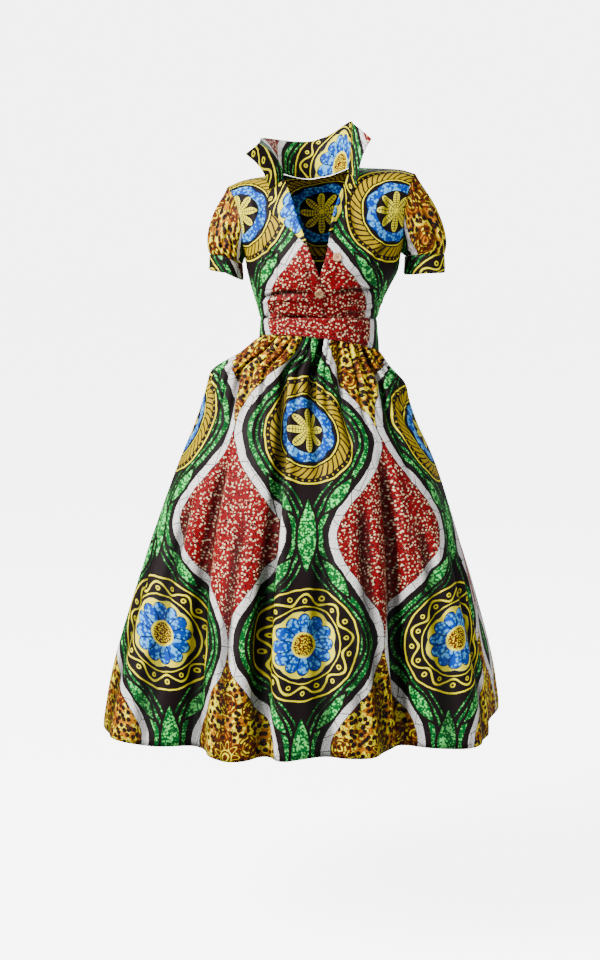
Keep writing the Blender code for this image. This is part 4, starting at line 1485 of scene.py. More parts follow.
@dataclass
class Cloth:
    """A sheet of the printed cloth, laid on a form as a fine grid and given a thin wall."""

    name: str
    place: Place
    relief: Relief | None = None
    taken_in: Hidden | None = None
    zero_column: float = 0.5
    from_middle: bool = False
    closed: bool = False
    ended: bool = False
    weld: float = 0.00001
    rounded_over: float = 0.0022
    # How far the cloth must sink for the painted shade in the trough layer to be full.
    painted_shade_depth: float = 0.0055
    look_step: float = 0.002

    @property
    def cut(self) -> Cut:
        """The piece's row in the table of cuts."""
        return CUTS[self.name]

    def moved(self, across: float, share: float, place: Vector, normal: Vector) -> float:
        """How far the creases and the rounded edges move the cloth at a place.

        Args:
            across: the share of the way across the sheet.
            share: the share of the way up it.
            place: the bent sheet's point there.
            normal: its outward direction there.

        Returns:
            The distance, outwards above 0.
        """
        move = 0.0 if self.relief is None else self.relief(across, share, place, normal)
        edge = min(share, 1.0 - share) * self.cut.length / self.rounded_over
        side = min(across, 1.0 - across) * self.cut.width / self.rounded_over
        return (move - self.cut.rounded * math.exp(-edge * edge)
                - self.cut.rounded_sides * math.exp(-side * side))

    def outside(self, across: float, share: float) -> tuple[Vector, Vector]:
        """A place on the finished sheet's outer face.

        Args:
            across: the share of the way across the sheet.
            share: the share of the way up it.

        Returns:
            The point and its outward direction.
        """
        low, high = max(share - self.look_step, 0.0), min(share + self.look_step, 1.0)
        left, right = max(across - self.look_step, 0.0), min(across + self.look_step, 1.0)
        wide = self.place(right, share) - self.place(left, share)
        tall = self.place(across, high) - self.place(across, low)
        normal = wide.cross(tall).normalized()
        spot = self.place(across, share)
        return spot + normal * self.moved(across, share, spot, normal), normal

    def make(self, material: bpy.types.Material) -> bpy.types.Object:
        """Args:
            material: the printed cloth's material.

        Returns:
            The finished object.
        """
        shape = bmesh.new()
        columns, rows = self.cut.grid
        bmesh.ops.create_grid(shape, x_segments=columns, y_segments=rows, size=0.5)
        across = shape.verts.layers.float.new("across")
        share = shape.verts.layers.float.new("share")
        trough = shape.verts.layers.float.new("trough")
        lattice = [[None] * (rows + 1) for _ in range(columns + 1)]
        for vertex in shape.verts:
            vertex[across] = vertex.co.x + 0.5
            vertex[share] = vertex.co.y + 0.5
            lattice[round(vertex[across] * columns)][round(vertex[share] * rows)] = vertex
        for line in lattice:
            for vertex in line:
                vertex.co = self.place(vertex[across], vertex[share])
        self.map_print(shape, lattice)
        if self.closed:
            bmesh.ops.remove_doubles(shape, verts=shape.verts, dist=self.weld)
        if self.ended:
            rim = [edge for edge in shape.edges
                   if edge.is_boundary and edge.verts[0][share] > 0.999]
            bmesh.ops.edgeloop_fill(shape, edges=rim)
        shape.normal_update()
        moves = [(vertex, vertex.normal * self.moved(vertex[across], vertex[share], vertex.co,
                                                     vertex.normal)) for vertex in shape.verts]
        # The trough layer holds painted shade: how far creases and rounded edges sink each vertex,
        # which the material turns into darker colour.
        for vertex, move in moves:
            vertex[trough] = min(max(-move.dot(vertex.normal) / self.painted_shade_depth, 0.0), 1.0)
            vertex.co += move
        piece = add_piece(f"print_{self.name}", shape, material, self.cut.slot)
        wall = piece.modifiers.new("wall", "SOLIDIFY")
        wall.thickness = self.cut.wall
        wall.offset = -1.0
        wall.use_even_offset = False
        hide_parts(self.cut.replaces)
        return piece

    def map_print(self, shape: bmesh.types.BMesh, lattice: list[list]) -> None:
        """Lay the print on the cloth by the cloth's own lengths, in metres.

        Args:
            shape: the bent grid.
            lattice: its vertices by column and row.
        """
        columns, rows = self.cut.grid
        zero = round(self.zero_column * columns)
        along = [0.0]
        for row in range(1, rows + 1):
            steps = [(line[row].co - line[row - 1].co).length for line in lattice]
            along.append(along[-1] + sum(steps) / len(steps))
        width = {}
        for row in range(rows + 1):
            start = lattice[zero][row].co.x if self.from_middle else 0.0
            width[(zero, row)] = start
            for way, last in ((1, columns), (-1, 0)):
                reach = start
                for column in range(zero + way, last + way, way):
                    step = lattice[column][row].co - lattice[column - way][row].co
                    reach += way * step.length
                    width[(column, row)] = reach
        places = {}
        for (column, row), reach in width.items():
            if self.taken_in is not None:
                reach += self.taken_in(column / columns, row / rows)
            places[lattice[column][row]] = (reach + self.cut.print_at[0],
                                            along[row] - along[-1] + self.cut.print_at[1])
        layer = shape.loops.layers.uv.new("cloth")
        for face in shape.faces:
            for loop in face.loops:
                loop[layer].uv = places[loop.vert]


def add_piece(name: str, shape: bmesh.types.BMesh, material: bpy.types.Material,
              slot: str) -> bpy.types.Object:
    """Link a finished shape as an object that rides on the dress.

    Args:
        name: the object's name.
        shape: its bmesh, which is freed.
        material: its material.
        slot: the name of the record's material slot for the piece; not used.

    Returns:
        The object.
    """
    mesh = bpy.data.meshes.new(name)
    shape.to_mesh(mesh)
    shape.free()
    mesh.shade_smooth()
    mesh.materials.append(material)
    piece = bpy.data.objects.new(name, mesh)
    bpy.context.scene.collection.objects.link(piece)
    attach(piece, BODY)
    LOG.info("%s: %d faces", name, len(mesh.polygons))
    return piece


# Creases laid one by one

@dataclass(frozen=True)
class Crease:
    """A soft crease on a sheet: a trough with a low ridge along one side of it.

    Its ends lie on a flat chart of the sheet, in metres. A depth below 0 makes it stand up.
    """

    start: tuple[float, float]
    end: tuple[float, float]
    width: float
    depth: float
    bow: float = 0.0
    ridge: float = 0.45
    ridge_off: float = 1.8
    ridge_width: float = 1.1
    sway: float = 0.35
    reach: float = 5.0

    def move(self, x: float, z: float) -> float:
        """How far the crease moves the cloth at a place.

        Args:
            x: the place's first measure on the chart.
            z: its second measure.

        Returns:
            The distance, outwards above 0.
        """
        run_x = self.end[0] - self.start[0]
        run_z = self.end[1] - self.start[1]
        length = math.hypot(run_x, run_z)
        off_x = x - self.start[0]
        off_z = z - self.start[1]
        along = (off_x * run_x + off_z * run_z) / (length * length)
        if not 0.0 < along < 1.0:
            return 0.0
        off = (off_x * run_z - off_z * run_x) / length - self.bow * 4.0 * along * (1.0 - along)
        off -= self.sway * self.width * math.sin(7.0 * along + 90.0 * self.start[0])
        off /= self.width * (0.85 + 0.3 * along)
        if abs(off) > self.reach:
            return 0.0
        fade = ease(along * 6.0) * ease((1.0 - along) * 2.2)
        uneven = 0.85 + 0.15 * math.sin(13.0 * along + 70.0 * self.start[1])
        side = self.ridge * math.exp(-((off - self.ridge_off) / self.ridge_width) ** 2)
        return self.depth * fade * uneven * (side - math.exp(-off * off))


def on_chart(rows: Sequence[Sequence[float]], scale: tuple[float, float]) -> tuple[Crease, ...]:
    """Creases from rows of two ends, a width, a depth and perhaps a bow.

    Args:
        rows: each the two ends on a chart, and the other measures in millimetres.
        scale: metres for one step of the chart each way.

    Returns:
        The creases, in metres on the chart.
    """
    return tuple(Crease((first * scale[0], low * scale[1]), (last * scale[0], high * scale[1]),
                        *(measure / 1000.0 for measure in measures))
                 for first, low, last, high, *measures in rows)


def creased(creases: Sequence[Crease], chart: Callable[[float, float, Vector], tuple]) -> Relief:
    """A relief made of creases.

    Args:
        creases: the creases, in metres on a chart of the sheet.
        chart: the place on the chart for a place on the sheet and in space.

    Returns:
        The function that says how far the cloth moves out.
    """
    def relief(across: float, share: float, place: Vector, _normal: Vector) -> float:
        """The sum of the creases' moves at a place."""
        x, z = chart(across, share, place)
        return sum(crease.move(x, z) for crease in creases)
    return relief


def sheet_relief(rows: Sequence[Sequence[float]], scale: tuple[float, float]) -> Relief:
    """A relief of creases on a chart of the sheet's own columns and rows.

    Args:
        rows: the creases' rows, with ends from 0 to 1 each way.
        scale: the sheet's size across and up.

    Returns:
        The relief.
    """
    def chart(across: float, share: float, _place: Vector) -> tuple[float, float]:
        """The place on the chart."""
        return across * scale[0], share * scale[1]
    return creased(on_chart(rows, scale), chart)


def seen_relief(rows: Sequence[Sequence[float]]) -> Relief:
    """A relief of creases whose ends are given as seen from the front or the back.

    Args:
        rows: the creases' rows, in millimetres.

    Returns:
        The relief.
    """
    def chart(_across: float, _share: float, place: Vector) -> tuple[float, float]:
        """The place on the chart: its x and its height."""
        return place.x, place.z
    return creased(on_chart(rows, (0.001, 0.001)), chart)


# Each row is a crease: its two ends, its width, its depth and its bow, if it has one. The last
# three are in millimetres. The ends are in millimetres of x and z on the bodice and the band, and
# in the steps that on_chart is given on the other sheets.
BODICE_CREASES = {
    "front_right": (
        (-118, -233, -4, -221, 4.7, 9.6, -4),
        (-100, -262, -8, -266, 4, 5, 2),
        (-108, -276, -82, -236, 3.8, 4.2, 3),
        (-112, -128, -58, -178, 6.6, 5.5, 6),
        (-118, -150, -70, -196, 5.7, 4.2, 5),
        (-120, -40, -104, -120, 6.6, 4.6, 4),
        (-40, -150, -14, -220, 5.7, 3.6, -4)),
    "front_left": (
        (112, -216, 10, -226, 4.9, 7.8, 4),
        (104, -252, 20, -262, 4, 4.6, -3),
        (122, -262, 92, -228, 4, 4.2, 3),
        (128, -122, 78, -176, 6.6, 5.9, -6),
        (132, -150, 86, -196, 5.7, 4.2, -5),
        (128, -36, 116, -116, 6.6, 4.6, -4),
        (62, -52, 84, -150, 8.5, 4.2, 6)),
    "back": (
        (-100, -232, 20, -248, 5.2, 6.9, 4),
        (104, -226, -10, -262, 4.7, 6.5, -4),
        (-126, -130, -60, -196, 6.6, 5.5, 6),
        (130, -126, 66, -190, 6.6, 5.5, -6),
        (-120, -48, -92, -130, 7.6, 4.6, 5),
        (124, -42, 98, -126, 7.6, 4.6, -5),
        (-30, -80, -4, -200, 8.5, 3.6, 4),
        (46, -90, 20, -210, 7.6, 3.6, -3))}
BAND_CREASES = (
    (-90, -286, 30, -292, 3.6, 1.6, 2),
    (-20, -304, 98, -296, 3.6, 1.4, -2),
    (-34, -276, -30, -318, 3, 1.6),
    (-16, -276, -19, -318, 2.6, 1.3),
    (6, -274, 4, -318, 3, 1.6),
    (24, -276, 28, -320, 2.6, 1.2),
    (-58, -280, -62, -320, 2.8, 1.2),
    (52, -278, 56, -322, 2.8, 1.2),
    (-84, -282, -86, -316, 2.8, 1),
    (80, -282, 84, -326, 2.8, 1))
SKIRT_CREASES = (
    (-14, -0.06, -11, 0.44, 8.7, 10.8), (1, -0.06, 4, 0.4, 8.7, 10.8),
    (16, -0.06, 20, 0.34, 8.0, 8.8), (45, -0.05, 50, 0.38, 8.0, 8.1),
    (-42, -0.05, -45, 0.32, 8.0, 7.4), (-62, -0.04, -64, 0.22, 7.2, 5.4),
    (-52, -0.04, -55, 0.27, 7.2, 6.1), (-33, -0.04, -36, 0.24, 7.2, 5.4),
    (-24, -0.05, -26, 0.33, 7.2, 6.8), (-6, -0.04, -6, 0.24, 6.5, 5.4),
    (8, -0.04, 9, 0.25, 6.5, 5.4), (27, -0.05, 30, 0.28, 7.2, 6.8),
    (36, -0.04, 39, 0.22, 7.2, 5.4), (57, -0.04, 62, 0.26, 7.2, 6.1),
    (68, -0.03, 72, 0.2, 7.2, 4.7), (-72, -0.03, -74, 0.18, 7.2, 4.7),
    (-13, 0.14, -9.5, 1.2, 11.6, 18.6), (-40, 0.26, -35, 1.2, 14.5, 15.2),
    (33, 0.24, 32, 1.2, 14.5, 16.9), (20, 0.34, 24, 1.2, 13.0, 11.0),
    (-24, 0.4, -22, 1.2, 13.0, 10.1), (4, 0.44, 7, 1.2, 12.3, 11.0),
    (47, 0.4, 44, 1.2, 13.8, 11.0), (63, 0.42, 60, 1.2, 14.5, 10.1),
    (-53, 0.36, -49, 1.2, 14.5, 11.9), (-67, 0.46, -64, 1.2, 14.5, 9.2),
    (76, 0.44, 74, 1.2, 14.5, 9.2), (-81, 0.4, -79, 1.2, 14.5, 8.5),
    (13, 0.62, 15, 1.2, 10.9, 6.8), (-30, 0.66, -28, 1.2, 10.9, 6.8))
SLEEVE_CREASES = (
    (0.08, 0.02, 0.1, 0.62, 5.0, 3.9), (0.17, 0.02, 0.18, 0.78, 5.0, 4.5),
    (0.27, 0.02, 0.25, 0.66, 5.5, 5.1), (0.36, 0.02, 0.37, 0.86, 5.0, 4.5),
    (0.44, 0.02, 0.43, 0.7, 5.0, 4.8), (0.52, 0.02, 0.53, 0.88, 5.5, 5.1),
    (0.61, 0.02, 0.6, 0.66, 5.0, 4.8), (0.7, 0.02, 0.71, 0.84, 5.0, 4.8),
    (0.79, 0.02, 0.77, 0.64, 5.0, 4.2), (0.89, 0.02, 0.9, 0.74, 5.0, 3.9),
    (0.31, 1.04, 0.3, 0.44, 4.5, 3.6), (0.4, 1.04, 0.41, 0.38, 4.5, 3.6),
    (0.48, 1.04, 0.47, 0.46, 4.5, 3.9), (0.57, 1.04, 0.58, 0.36, 4.5, 3.6),
    (0.66, 1.04, 0.65, 0.48, 4.5, 3.6))
COLLAR_CREASES = (
    (0.06, 0.10, 0.16, 0.95, 8.0, 1.6), (0.20, 0.98, 0.27, 0.15, 7.0, 1.4),
    (0.38, 0.08, 0.42, 0.90, 9.0, 1.4), (0.60, 0.92, 0.56, 0.10, 9.0, 1.4),
    (0.74, 0.10, 0.80, 0.96, 7.0, 1.5), (0.94, 0.08, 0.86, 0.90, 7.0, 1.5))


@dataclass
class Bodice:
    """The two fronts and the back."""

    form: BodiceForm

    def sheets(self) -> list[Cloth]:
        """The three panels.

        Returns:
            Their sheets, the fronts first.
        """
        sheets = [Cloth(name=f"front_{side.value}", place=self.form.front_sheet(side),
                        zero_column=1.0 if side is Side.RIGHT else 0.0, from_middle=True,
                        relief=seen_relief(BODICE_CREASES[f"front_{side.value}"]))
                  for side in Side]
        sheets.append(Cloth(name="back", place=self.form.back_sheet,
                            relief=seen_relief(BODICE_CREASES["back"])))
        return sheets


@dataclass
class Collar:
    """The lapels and the turned-up collar."""

    form: CollarForm
    crease_chart: tuple[float, float] = (0.48, 0.08)

    def sheets(self) -> list[Cloth]:
        """Both lapels and the collar.

        Returns:
            Their sheets, the lapels first.
        """
        sheets = [Cloth(name=f"lapel_{side.value}", place=self.form.lapel_sheet(side),
                        from_middle=True) for side in Side]
        sheets.append(Cloth(name="collar", place=self.form.leaf_sheet,
                            relief=sheet_relief(COLLAR_CREASES, self.crease_chart)))
        return sheets


@dataclass
class Sleeves:
    """Both sleeves with their cuffs."""

    forms: tuple[SleeveForm, ...]
    crease_chart: tuple[float, float] = (0.36, 0.085)

    def sheets(self) -> list[Cloth]:
        """The sleeves and the cuffs.

        Returns:
            Their sheets, each sleeve before its cuff.
        """
        sheets = []
        for form in self.forms:
            sheets.append(Cloth(name=f"sleeve_{form.side.value}", place=form.sleeve_sheet,
                                closed=True,
                                relief=sheet_relief(SLEEVE_CREASES, self.crease_chart)))
            sheets.append(Cloth(name=f"cuff_{form.side.value}", place=form.cuff_sheet,
                                closed=True))
        return sheets


@dataclass
class Skirt:
    """The waistband, the two wide panels and the pockets."""

    form: SkirtForm
    pockets: tuple[PocketForm, ...]
    crease_chart: tuple[float, float] = (0.0045, 0.75)
    back_turn: float = 2.0
    pleat_degrees: float = 1.6

    def sheets(self) -> list[Cloth]:
        """The band, the panels and the pockets.

        Returns:
            Their sheets, each stretch of the band before its panel, and the pockets last.
        """
        sheets = []
        for face in Face:
            sheets.append(Cloth(name=f"band_{face.value}", place=self.form.band_sheet(face),
                                relief=seen_relief(BAND_CREASES)))
            sheets.append(Cloth(name=f"skirt_{face.value}", place=self.form.panel_sheet(face),
                                taken_in=self.taken_in(face), relief=self.creases(face)))
        for form in self.pockets:
            sheets.append(Cloth(name=f"pocket_{form.side.value}", place=form.sheet(),
                                closed=True, ended=True))
        return sheets

    def turn_of(self, face: Face, across: float, drop: float) -> float:
        """The degrees from the middle of a panel to one of its columns at a drop."""
        return angle_apart(self.form.angle_of(face, across, drop), face.middle)

    def creases(self, face: Face) -> Relief:
        """The panel's creases, on a chart of the turn round the body and the drop.

        Args:
            face: the panel; the back has the front's creases in mirror image.

        Returns:
            The relief.
        """
        def chart(across: float, share: float, _place: Vector) -> tuple[float, float]:
            """The place on the chart."""
            drop = self.form.drop_of(share)
            turn = self.turn_of(face, across, drop)
            turn = turn if face is Face.FRONT else self.back_turn - turn
            return turn * self.crease_chart[0], drop * self.crease_chart[1]
        return creased(on_chart(SKIRT_CREASES, self.crease_chart), chart)

    def taken_in(self, face: Face) -> Hidden:
        """How much cloth the pleats between the panel's middle and a place hide.

        Args:
            face: the panel.

        Returns:
            The function of a place on the sheet, in metres.
        """
        def hidden(across: float, share: float) -> float:
            """The cloth that is hidden up to a place, below 0 on the right of the middle."""
            drop = self.form.drop_of(share)
            turn = self.turn_of(face, across, drop)
            total = 0.0
            for pleat in self.form.pleats:
                middle = angle_apart(pleat.centre(drop), face.middle)
                if abs(middle) > 90.0:
                    continue
                passed = (ease((turn - middle) / self.pleat_degrees + 0.5)
                          - ease(-middle / self.pleat_degrees + 0.5))
                total += pleat.takes_in * pleat.held(drop) * passed
            return total
        return hidden


# Stitches and buttons

@dataclass
class Stitching:
    """Rows of lockstitch on the finished cloth, joined into one piece."""

    name: str
    slot: str = "print_cloth"
    length: float = 0.0023
    pitch: float = 0.0032
    radius: float = 0.00030
    samples: int = 360

    def make(self, rows: Sequence[tuple], thread: bpy.types.Material) -> bpy.types.Object:
        """Sew every row.

        Args:
            rows: each a sheet and the row's two ends, as its shares across and up the sheet.
            thread: the thread's material.

        Returns:
            All the stitches as one object.
        """
        shape = bmesh.new()
        for cloth, start, end in rows:
            self.sew(shape, cloth, start, end)
        return add_piece(self.name, shape, thread, self.slot)

    def sew(self, shape: bmesh.types.BMesh, cloth: Cloth, start: tuple[float, float],
            end: tuple[float, float]) -> None:
        """Lay one row of stitches, each a slim bead that lies along the row.

        Args:
            shape: the bmesh that takes the stitches.
            cloth: the sheet that the row lies on.
            start: where the row starts on the sheet.
            end: where it ends.
        """
        def spot(step: float) -> tuple[Vector, Vector]:
            """The point and the direction outwards at a step of the row."""
            part = step / self.samples
            return cloth.outside(start[0] + (end[0] - start[0]) * part,
                                 start[1] + (end[1] - start[1]) * part)

        last, _ = spot(0)
        walked = self.pitch * 0.5
        for step in range(1, self.samples + 1):
            here, normal = spot(step)
            run = here - last
            walked += run.length
            if walked >= self.pitch and run.length > 0.0:
                walked -= self.pitch
                ahead = run.normalized()
                beside = normal.cross(ahead).normalized()
                seat = here + normal * (self.radius * 0.5)
                turn = Matrix((ahead * (self.length / 2.0), beside * self.radius,
                               normal * self.radius)).transposed().to_4x4()
                bmesh.ops.create_icosphere(shape, subdivisions=1, radius=1.0,
                                           matrix=Matrix.Translation(seat) @ turn)
            last = here


@dataclass
class Sewing:
    """The stitching along the edges and seams of the dress; insets are in metres."""

    cloths: dict[str, Cloth]
    end: float = 0.004
    band_inset: float = 0.0028
    cuff_inset: float = 0.0032
    head_inset: float = 0.0024
    collar_inset: float = 0.004
    collar_end: float = 0.012
    collar_foot: float = 0.05
    lapel_ends: tuple[float, float] = (0.06, 0.97)
    lapel_top: tuple[float, float, float] = (0.08, 0.92, 0.975)
    placket_edge: tuple[float, float] = (0.975, 0.40)
    placket_inner: tuple[float, float] = (0.86, 0.36)
    placket_foot: float = 0.01
    hem_inset: float = 0.020
    mouth_columns: tuple[float, float] = (0.006, 0.994)
    mouth_rows: tuple[float, float] = (0.62, 0.90)

    def level(self, name: str, inset: float, at_top: bool) -> tuple:
        """A row across a sheet, along its foot or its top.

        Args:
            name: the sheet's name.
            inset: the row's distance from the edge.
            at_top: whether it follows the top edge.

        Returns:
            The sheet and the row's two ends.
        """
        share = inset / self.cloths[name].cut.length
        share = 1.0 - share if at_top else share
        return self.cloths[name], (self.end, share), (1.0 - self.end, share)

    def collar_rows(self) -> list[tuple]:
        """The rows along the free edges of the collar and the lapels.

        Returns:
            The rows.
        """
        leaf = self.cloths["collar"]
        ends = (self.collar_end, 1.0 - self.collar_end)
        top = 1.0 - self.collar_inset / leaf.cut.length
        rows = [(leaf, (ends[0], top), (ends[1], top))]
        rows += [(leaf, (across, self.collar_foot), (across, top)) for across in ends]
        foot, head = self.lapel_ends
        first, last, level = self.lapel_top
        for side in Side:
            lapel = self.cloths[f"lapel_{side.value}"]
            near = self.collar_inset / lapel.cut.width
            edges = (near, 1.0 - near) if side is Side.RIGHT else (1.0 - near, near)
            rows += [(lapel, (edge, foot), (edge, head)) for edge in edges]
            rows.append((lapel, (first, level), (last, level)))
        return rows

    def make(self, thread: bpy.types.Material) -> list[bpy.types.Object]:
        """Sew the seams and edges.

        Args:
            thread: the thread's material.

        Returns:
            The pieces of stitching.
        """
        sides = [side.value for side in Side]
        right = self.cloths["front_right"]
        plackets = (self.placket_edge, self.placket_inner)
        low, high = self.mouth_rows
        sewn = (
            (Stitching("stitch_band", "print_trim"),
             [self.level(f"band_{face.value}", self.band_inset, at_top)
              for face in Face for at_top in (False, True)]),
            (Stitching("stitch_cuffs", "print_trim"),
             [self.level(f"cuff_{side}", self.cuff_inset, at_top)
              for side in sides for at_top in (False, True)]),
            (Stitching("stitch_sleeve_heads"),
             [self.level(f"sleeve_{side}", self.head_inset, True) for side in sides]),
            (Stitching("stitch_collar", "print_trim"), self.collar_rows()),
            (Stitching("stitch_placket"),
             [(right, (across, self.placket_foot), (across, top)) for across, top in plackets]),
            (Stitching("stitch_hem", length=0.0028, pitch=0.0042, samples=900),
             [self.level(f"skirt_{face.value}", self.hem_inset, False) for face in Face]),
            (Stitching("stitch_pockets", samples=600),
             [(self.cloths[f"skirt_{face.value}"], (across, low), (across, high))
              for face in Face for across in self.mouth_columns]))
        return [stitching.make(rows, thread) for stitching, rows in sewn]


@dataclass
class Buttons:
    """The flat wooden buttons, each one turned on its front and sewn down."""

    form: BodiceForm
    radius: float = 0.0083
    thickness: float = 0.0026
    dish: float = 0.0006
    dish_radius: float = 0.0056
    rim: float = 0.0009
    hole_off: float = 0.0019
    hole_radius: float = 0.00075
    hole_height: float = 0.35
    thread_reach: float = 1.15
    thread_radii: tuple[float, float] = (0.00055, 0.00045)
    thread_lift: float = 0.0002
    standoff: float = 0.0005
    segments: int = 64
    weld: float = 0.000005
    places: tuple = (("upper", Side.LEFT, 0.405, 0.031), ("lower", Side.RIGHT, 0.165, -0.002))

    def make(self, wood: bpy.types.Material, thread: bpy.types.Material) -> list[bpy.types.Object]:
        """Build both buttons and the thread in their holes.

        Args:
            wood: the buttons' material.
            thread: the thread's material.

        Returns:
            The buttons and their threads.
        """
        pieces = []
        for name, side, up, x in self.places:
            share = self.form.front_across(side, x, up)
            normal = self.form.front_normal(side, share, up)
            seat = self.form.front_point(side, share, up) + normal * self.standoff
            turn = Matrix.Translation(seat) @ normal.to_track_quat("Z", "Y").to_matrix().to_4x4()
            piece = add_piece(f"wood_{name}", self.disc(turn), wood, "button_wood")
            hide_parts(f"button_{name}")
            pieces.append(piece)
            pieces.append(add_piece(f"thread_{name}", self.threads(turn), thread, "button_wood"))
        return pieces

    def disc(self, turn: Matrix) -> bmesh.types.BMesh:
        """A turned disc with a shallow dish, a rounded rim and a closed foot.

        Args:
            turn: where the button lies.

        Returns:
            The shape.
        """
        top = self.thickness
        line = ((0.0, top - self.dish), (self.dish_radius, top - self.dish),
                (self.dish_radius + self.rim, top), (self.radius - self.rim, top),
                (self.radius - self.rim * 0.3, top - self.rim * 0.3), (self.radius, top - self.rim),
                (self.radius, self.rim * 0.6), (self.radius - self.rim * 0.6, 0.0), (0.0, 0.0))
        shape = bmesh.new()
        knots = [shape.verts.new((reach, 0.0, height)) for reach, height in line]
        edges = [shape.edges.new(pair) for pair in zip(knots, knots[1:])]
        bmesh.ops.spin(shape, geom=knots + edges, cent=(0.0, 0.0, 0.0), axis=(0.0, 0.0, 1.0),
                       dvec=(0.0, 0.0, 0.0), angle=math.tau, steps=self.segments, use_merge=True)
        bmesh.ops.remove_doubles(shape, verts=shape.verts, dist=self.weld)
        bmesh.ops.recalc_face_normals(shape, faces=shape.faces)
        bmesh.ops.transform(shape, matrix=turn, verts=shape.verts)
        return shape

    def threads(self, turn: Matrix) -> bmesh.types.BMesh:
        """The filled holes and the two crossed threads between them.

        Args:
            turn: where the button lies.

        Returns:
            The shape.
        """
        shape = bmesh.new()
        floor = self.thickness - self.dish
        flat = Matrix.Diagonal((1.0, 1.0, self.hole_height, 1.0))
        for corner in range(4):
            angle = math.tau * (corner + 0.5) / 4.0
            place = Vector((math.cos(angle), math.sin(angle), 0.0)) * self.hole_off
            place.z = floor
            bmesh.ops.create_uvsphere(shape, u_segments=12, v_segments=6, radius=self.hole_radius,
                                      matrix=turn @ Matrix.Translation(place) @ flat)
        size = Matrix.Diagonal((self.hole_off * self.thread_reach, *self.thread_radii, 1.0))
        lift = Matrix.Translation((0.0, 0.0, floor + self.thread_lift))
        for angle in (math.pi / 4.0, -math.pi / 4.0):
            bmesh.ops.create_uvsphere(shape, u_segments=12, v_segments=8, radius=1.0,
                                      matrix=turn @ lift @ Matrix.Rotation(angle, 4, "Z") @ size)
        return shape


# The studio

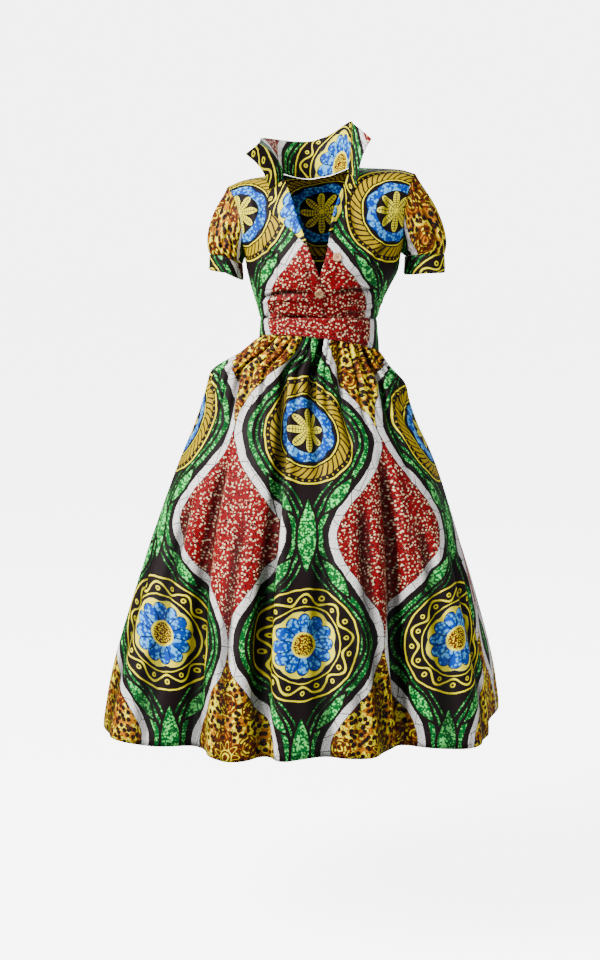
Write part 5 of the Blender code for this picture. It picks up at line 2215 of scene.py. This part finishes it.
@dataclass
class Studio:
    """The plain pale floor and backdrop, the soft lights and the camera."""

    lens: float = 71.9
    distance: float = 3.741
    elevation: float = 8.5
    target: tuple[float, float, float] = (-0.038, 0.0, -0.589)
    sensor: float = 36.0
    sight: float = 200.0
    floor_z: float = -1.52
    room: float = 30.0
    rings: tuple[int, int] = (96, 48)
    paint: tuple[float, float, float] = (0.90, 0.90, 0.90)
    paint_roughness: float = 0.9
    glow: float = 5.2
    room_light: float = 0.50
    lamps: tuple = (("key", (-3.2, -2.5, 2.3), 1.8, 710.0), ("fill", (2.8, -2.8, 0.4), 2.6, 55.0),
                    ("rim", (0.8, 3.0, 1.6), 2.2, 60.0))

    def make(self) -> None:
        """Set up everything that isn't the dress."""
        self.backdrop()
        for name, place, size, power in self.lamps:
            self.light(name, place, size, power)
        self.surroundings()
        self.camera()

    def backdrop(self) -> None:
        """Make a round floor and the dome over it, both of which light nothing themselves."""
        graph = Graph("studio_pale")
        graph.set({"Base Color": self.paint, "Roughness": self.paint_roughness,
                   "Emission Color": (1.0, 1.0, 1.0), "Emission Strength": self.glow})
        around, up = self.rings
        floor = bmesh.new()
        bmesh.ops.create_circle(floor, cap_ends=True, segments=around, radius=self.room)
        dome = bmesh.new()
        bmesh.ops.create_uvsphere(dome, u_segments=around, v_segments=up, radius=self.room)
        bmesh.ops.bisect_plane(dome, geom=dome.verts[:] + dome.edges[:] + dome.faces[:],
                               plane_co=(0.0, 0.0, 0.0), plane_no=(0.0, 0.0, 1.0), clear_inner=True)
        bmesh.ops.reverse_faces(dome, faces=dome.faces)
        for name, shape in (("studio_floor", floor), ("studio_backdrop", dome)):
            bmesh.ops.translate(shape, verts=shape.verts, vec=(0.0, 0.0, self.floor_z))
            mesh = bpy.data.meshes.new(name)
            shape.to_mesh(mesh)
            shape.free()
            mesh.materials.append(graph.material)
            piece = bpy.data.objects.new(name, mesh)
            piece.visible_diffuse = False
            piece.visible_glossy = False
            piece.visible_shadow = False
            bpy.context.scene.collection.objects.link(piece)

    def light(self, name: str, place: tuple, size: float, power: float) -> None:
        """Add one large square light that faces the dress.

        Args:
            name: the light's name.
            place: where it stands.
            size: its side in metres.
            power: its power in watts.
        """
        data = bpy.data.lights.new(name, "AREA")
        data.size = size
        data.energy = power
        lamp = bpy.data.objects.new(name, data)
        lamp.location = place
        aim = Vector(self.target) - Vector(place)
        lamp.rotation_euler = aim.to_track_quat("-Z", "Y").to_euler()
        bpy.context.scene.collection.objects.link(lamp)

    def surroundings(self) -> None:
        """Light the scene evenly from all round."""
        world = bpy.data.worlds.new("studio")
        world.use_nodes = True
        light = world.node_tree.nodes["Background"]
        light.inputs["Color"].default_value = (1.0, 1.0, 1.0, 1.0)
        light.inputs["Strength"].default_value = self.room_light
        bpy.context.scene.world = world

    def camera(self) -> None:
        """Place the camera where the photograph was taken from."""
        data = bpy.data.cameras.new("view")
        data.lens = self.lens
        data.sensor_width = self.sensor
        data.clip_end = self.sight
        camera = bpy.data.objects.new("view", data)
        tilt = math.radians(self.elevation)
        target = Vector(self.target)
        camera.location = target + Vector((0.0, -math.cos(tilt), math.sin(tilt))) * self.distance
        camera.rotation_euler = (target - camera.location).to_track_quat("-Z", "Y").to_euler()
        bpy.context.scene.collection.objects.link(camera)
        bpy.context.scene.camera = camera


def main() -> None:
    """Build the dress and its studio, and report each piece."""
    logging.basicConfig(level=logging.INFO, format="%(name)s: %(message)s")
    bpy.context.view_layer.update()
    print_cloth = WaxPrint().material()
    wood = ButtonWood().material()
    body = BodiceForm()
    skirt = SkirtForm(body)
    sleeves = (
        SleeveForm(body, Side.RIGHT, cuff_x=-0.1795, cuff_top_z=-0.1540, half_x=0.0320,
                   inner_drop=0.0120, height=0.031, puff=0.013, outer_lift=0.004),
        SleeveForm(body, Side.LEFT, cuff_x=0.2010, cuff_top_z=-0.1500, half_x=0.0385,
                   inner_drop=0.0040, height=0.036, puff=0.015, outer_lift=0.000))
    pockets = tuple(PocketForm(skirt, side) for side in Side)
    Studio().make()
    cloths = {cloth.name: cloth for part in (Bodice(body), Collar(CollarForm(body)),
                                             Sleeves(sleeves), Skirt(skirt, pockets))
              for cloth in part.sheets()}
    pieces = [cloth.make(print_cloth) for cloth in cloths.values()]
    pieces += Sewing(cloths).make(Thread("thread_dark", (0.020, 0.013, 0.012)).material())
    pieces += Buttons(body).make(wood, Thread("thread_pale", (0.090, 0.040, 0.020)).material())
    LOG.info("%d pieces", len(pieces))


if __name__ == "__main__":
    main()
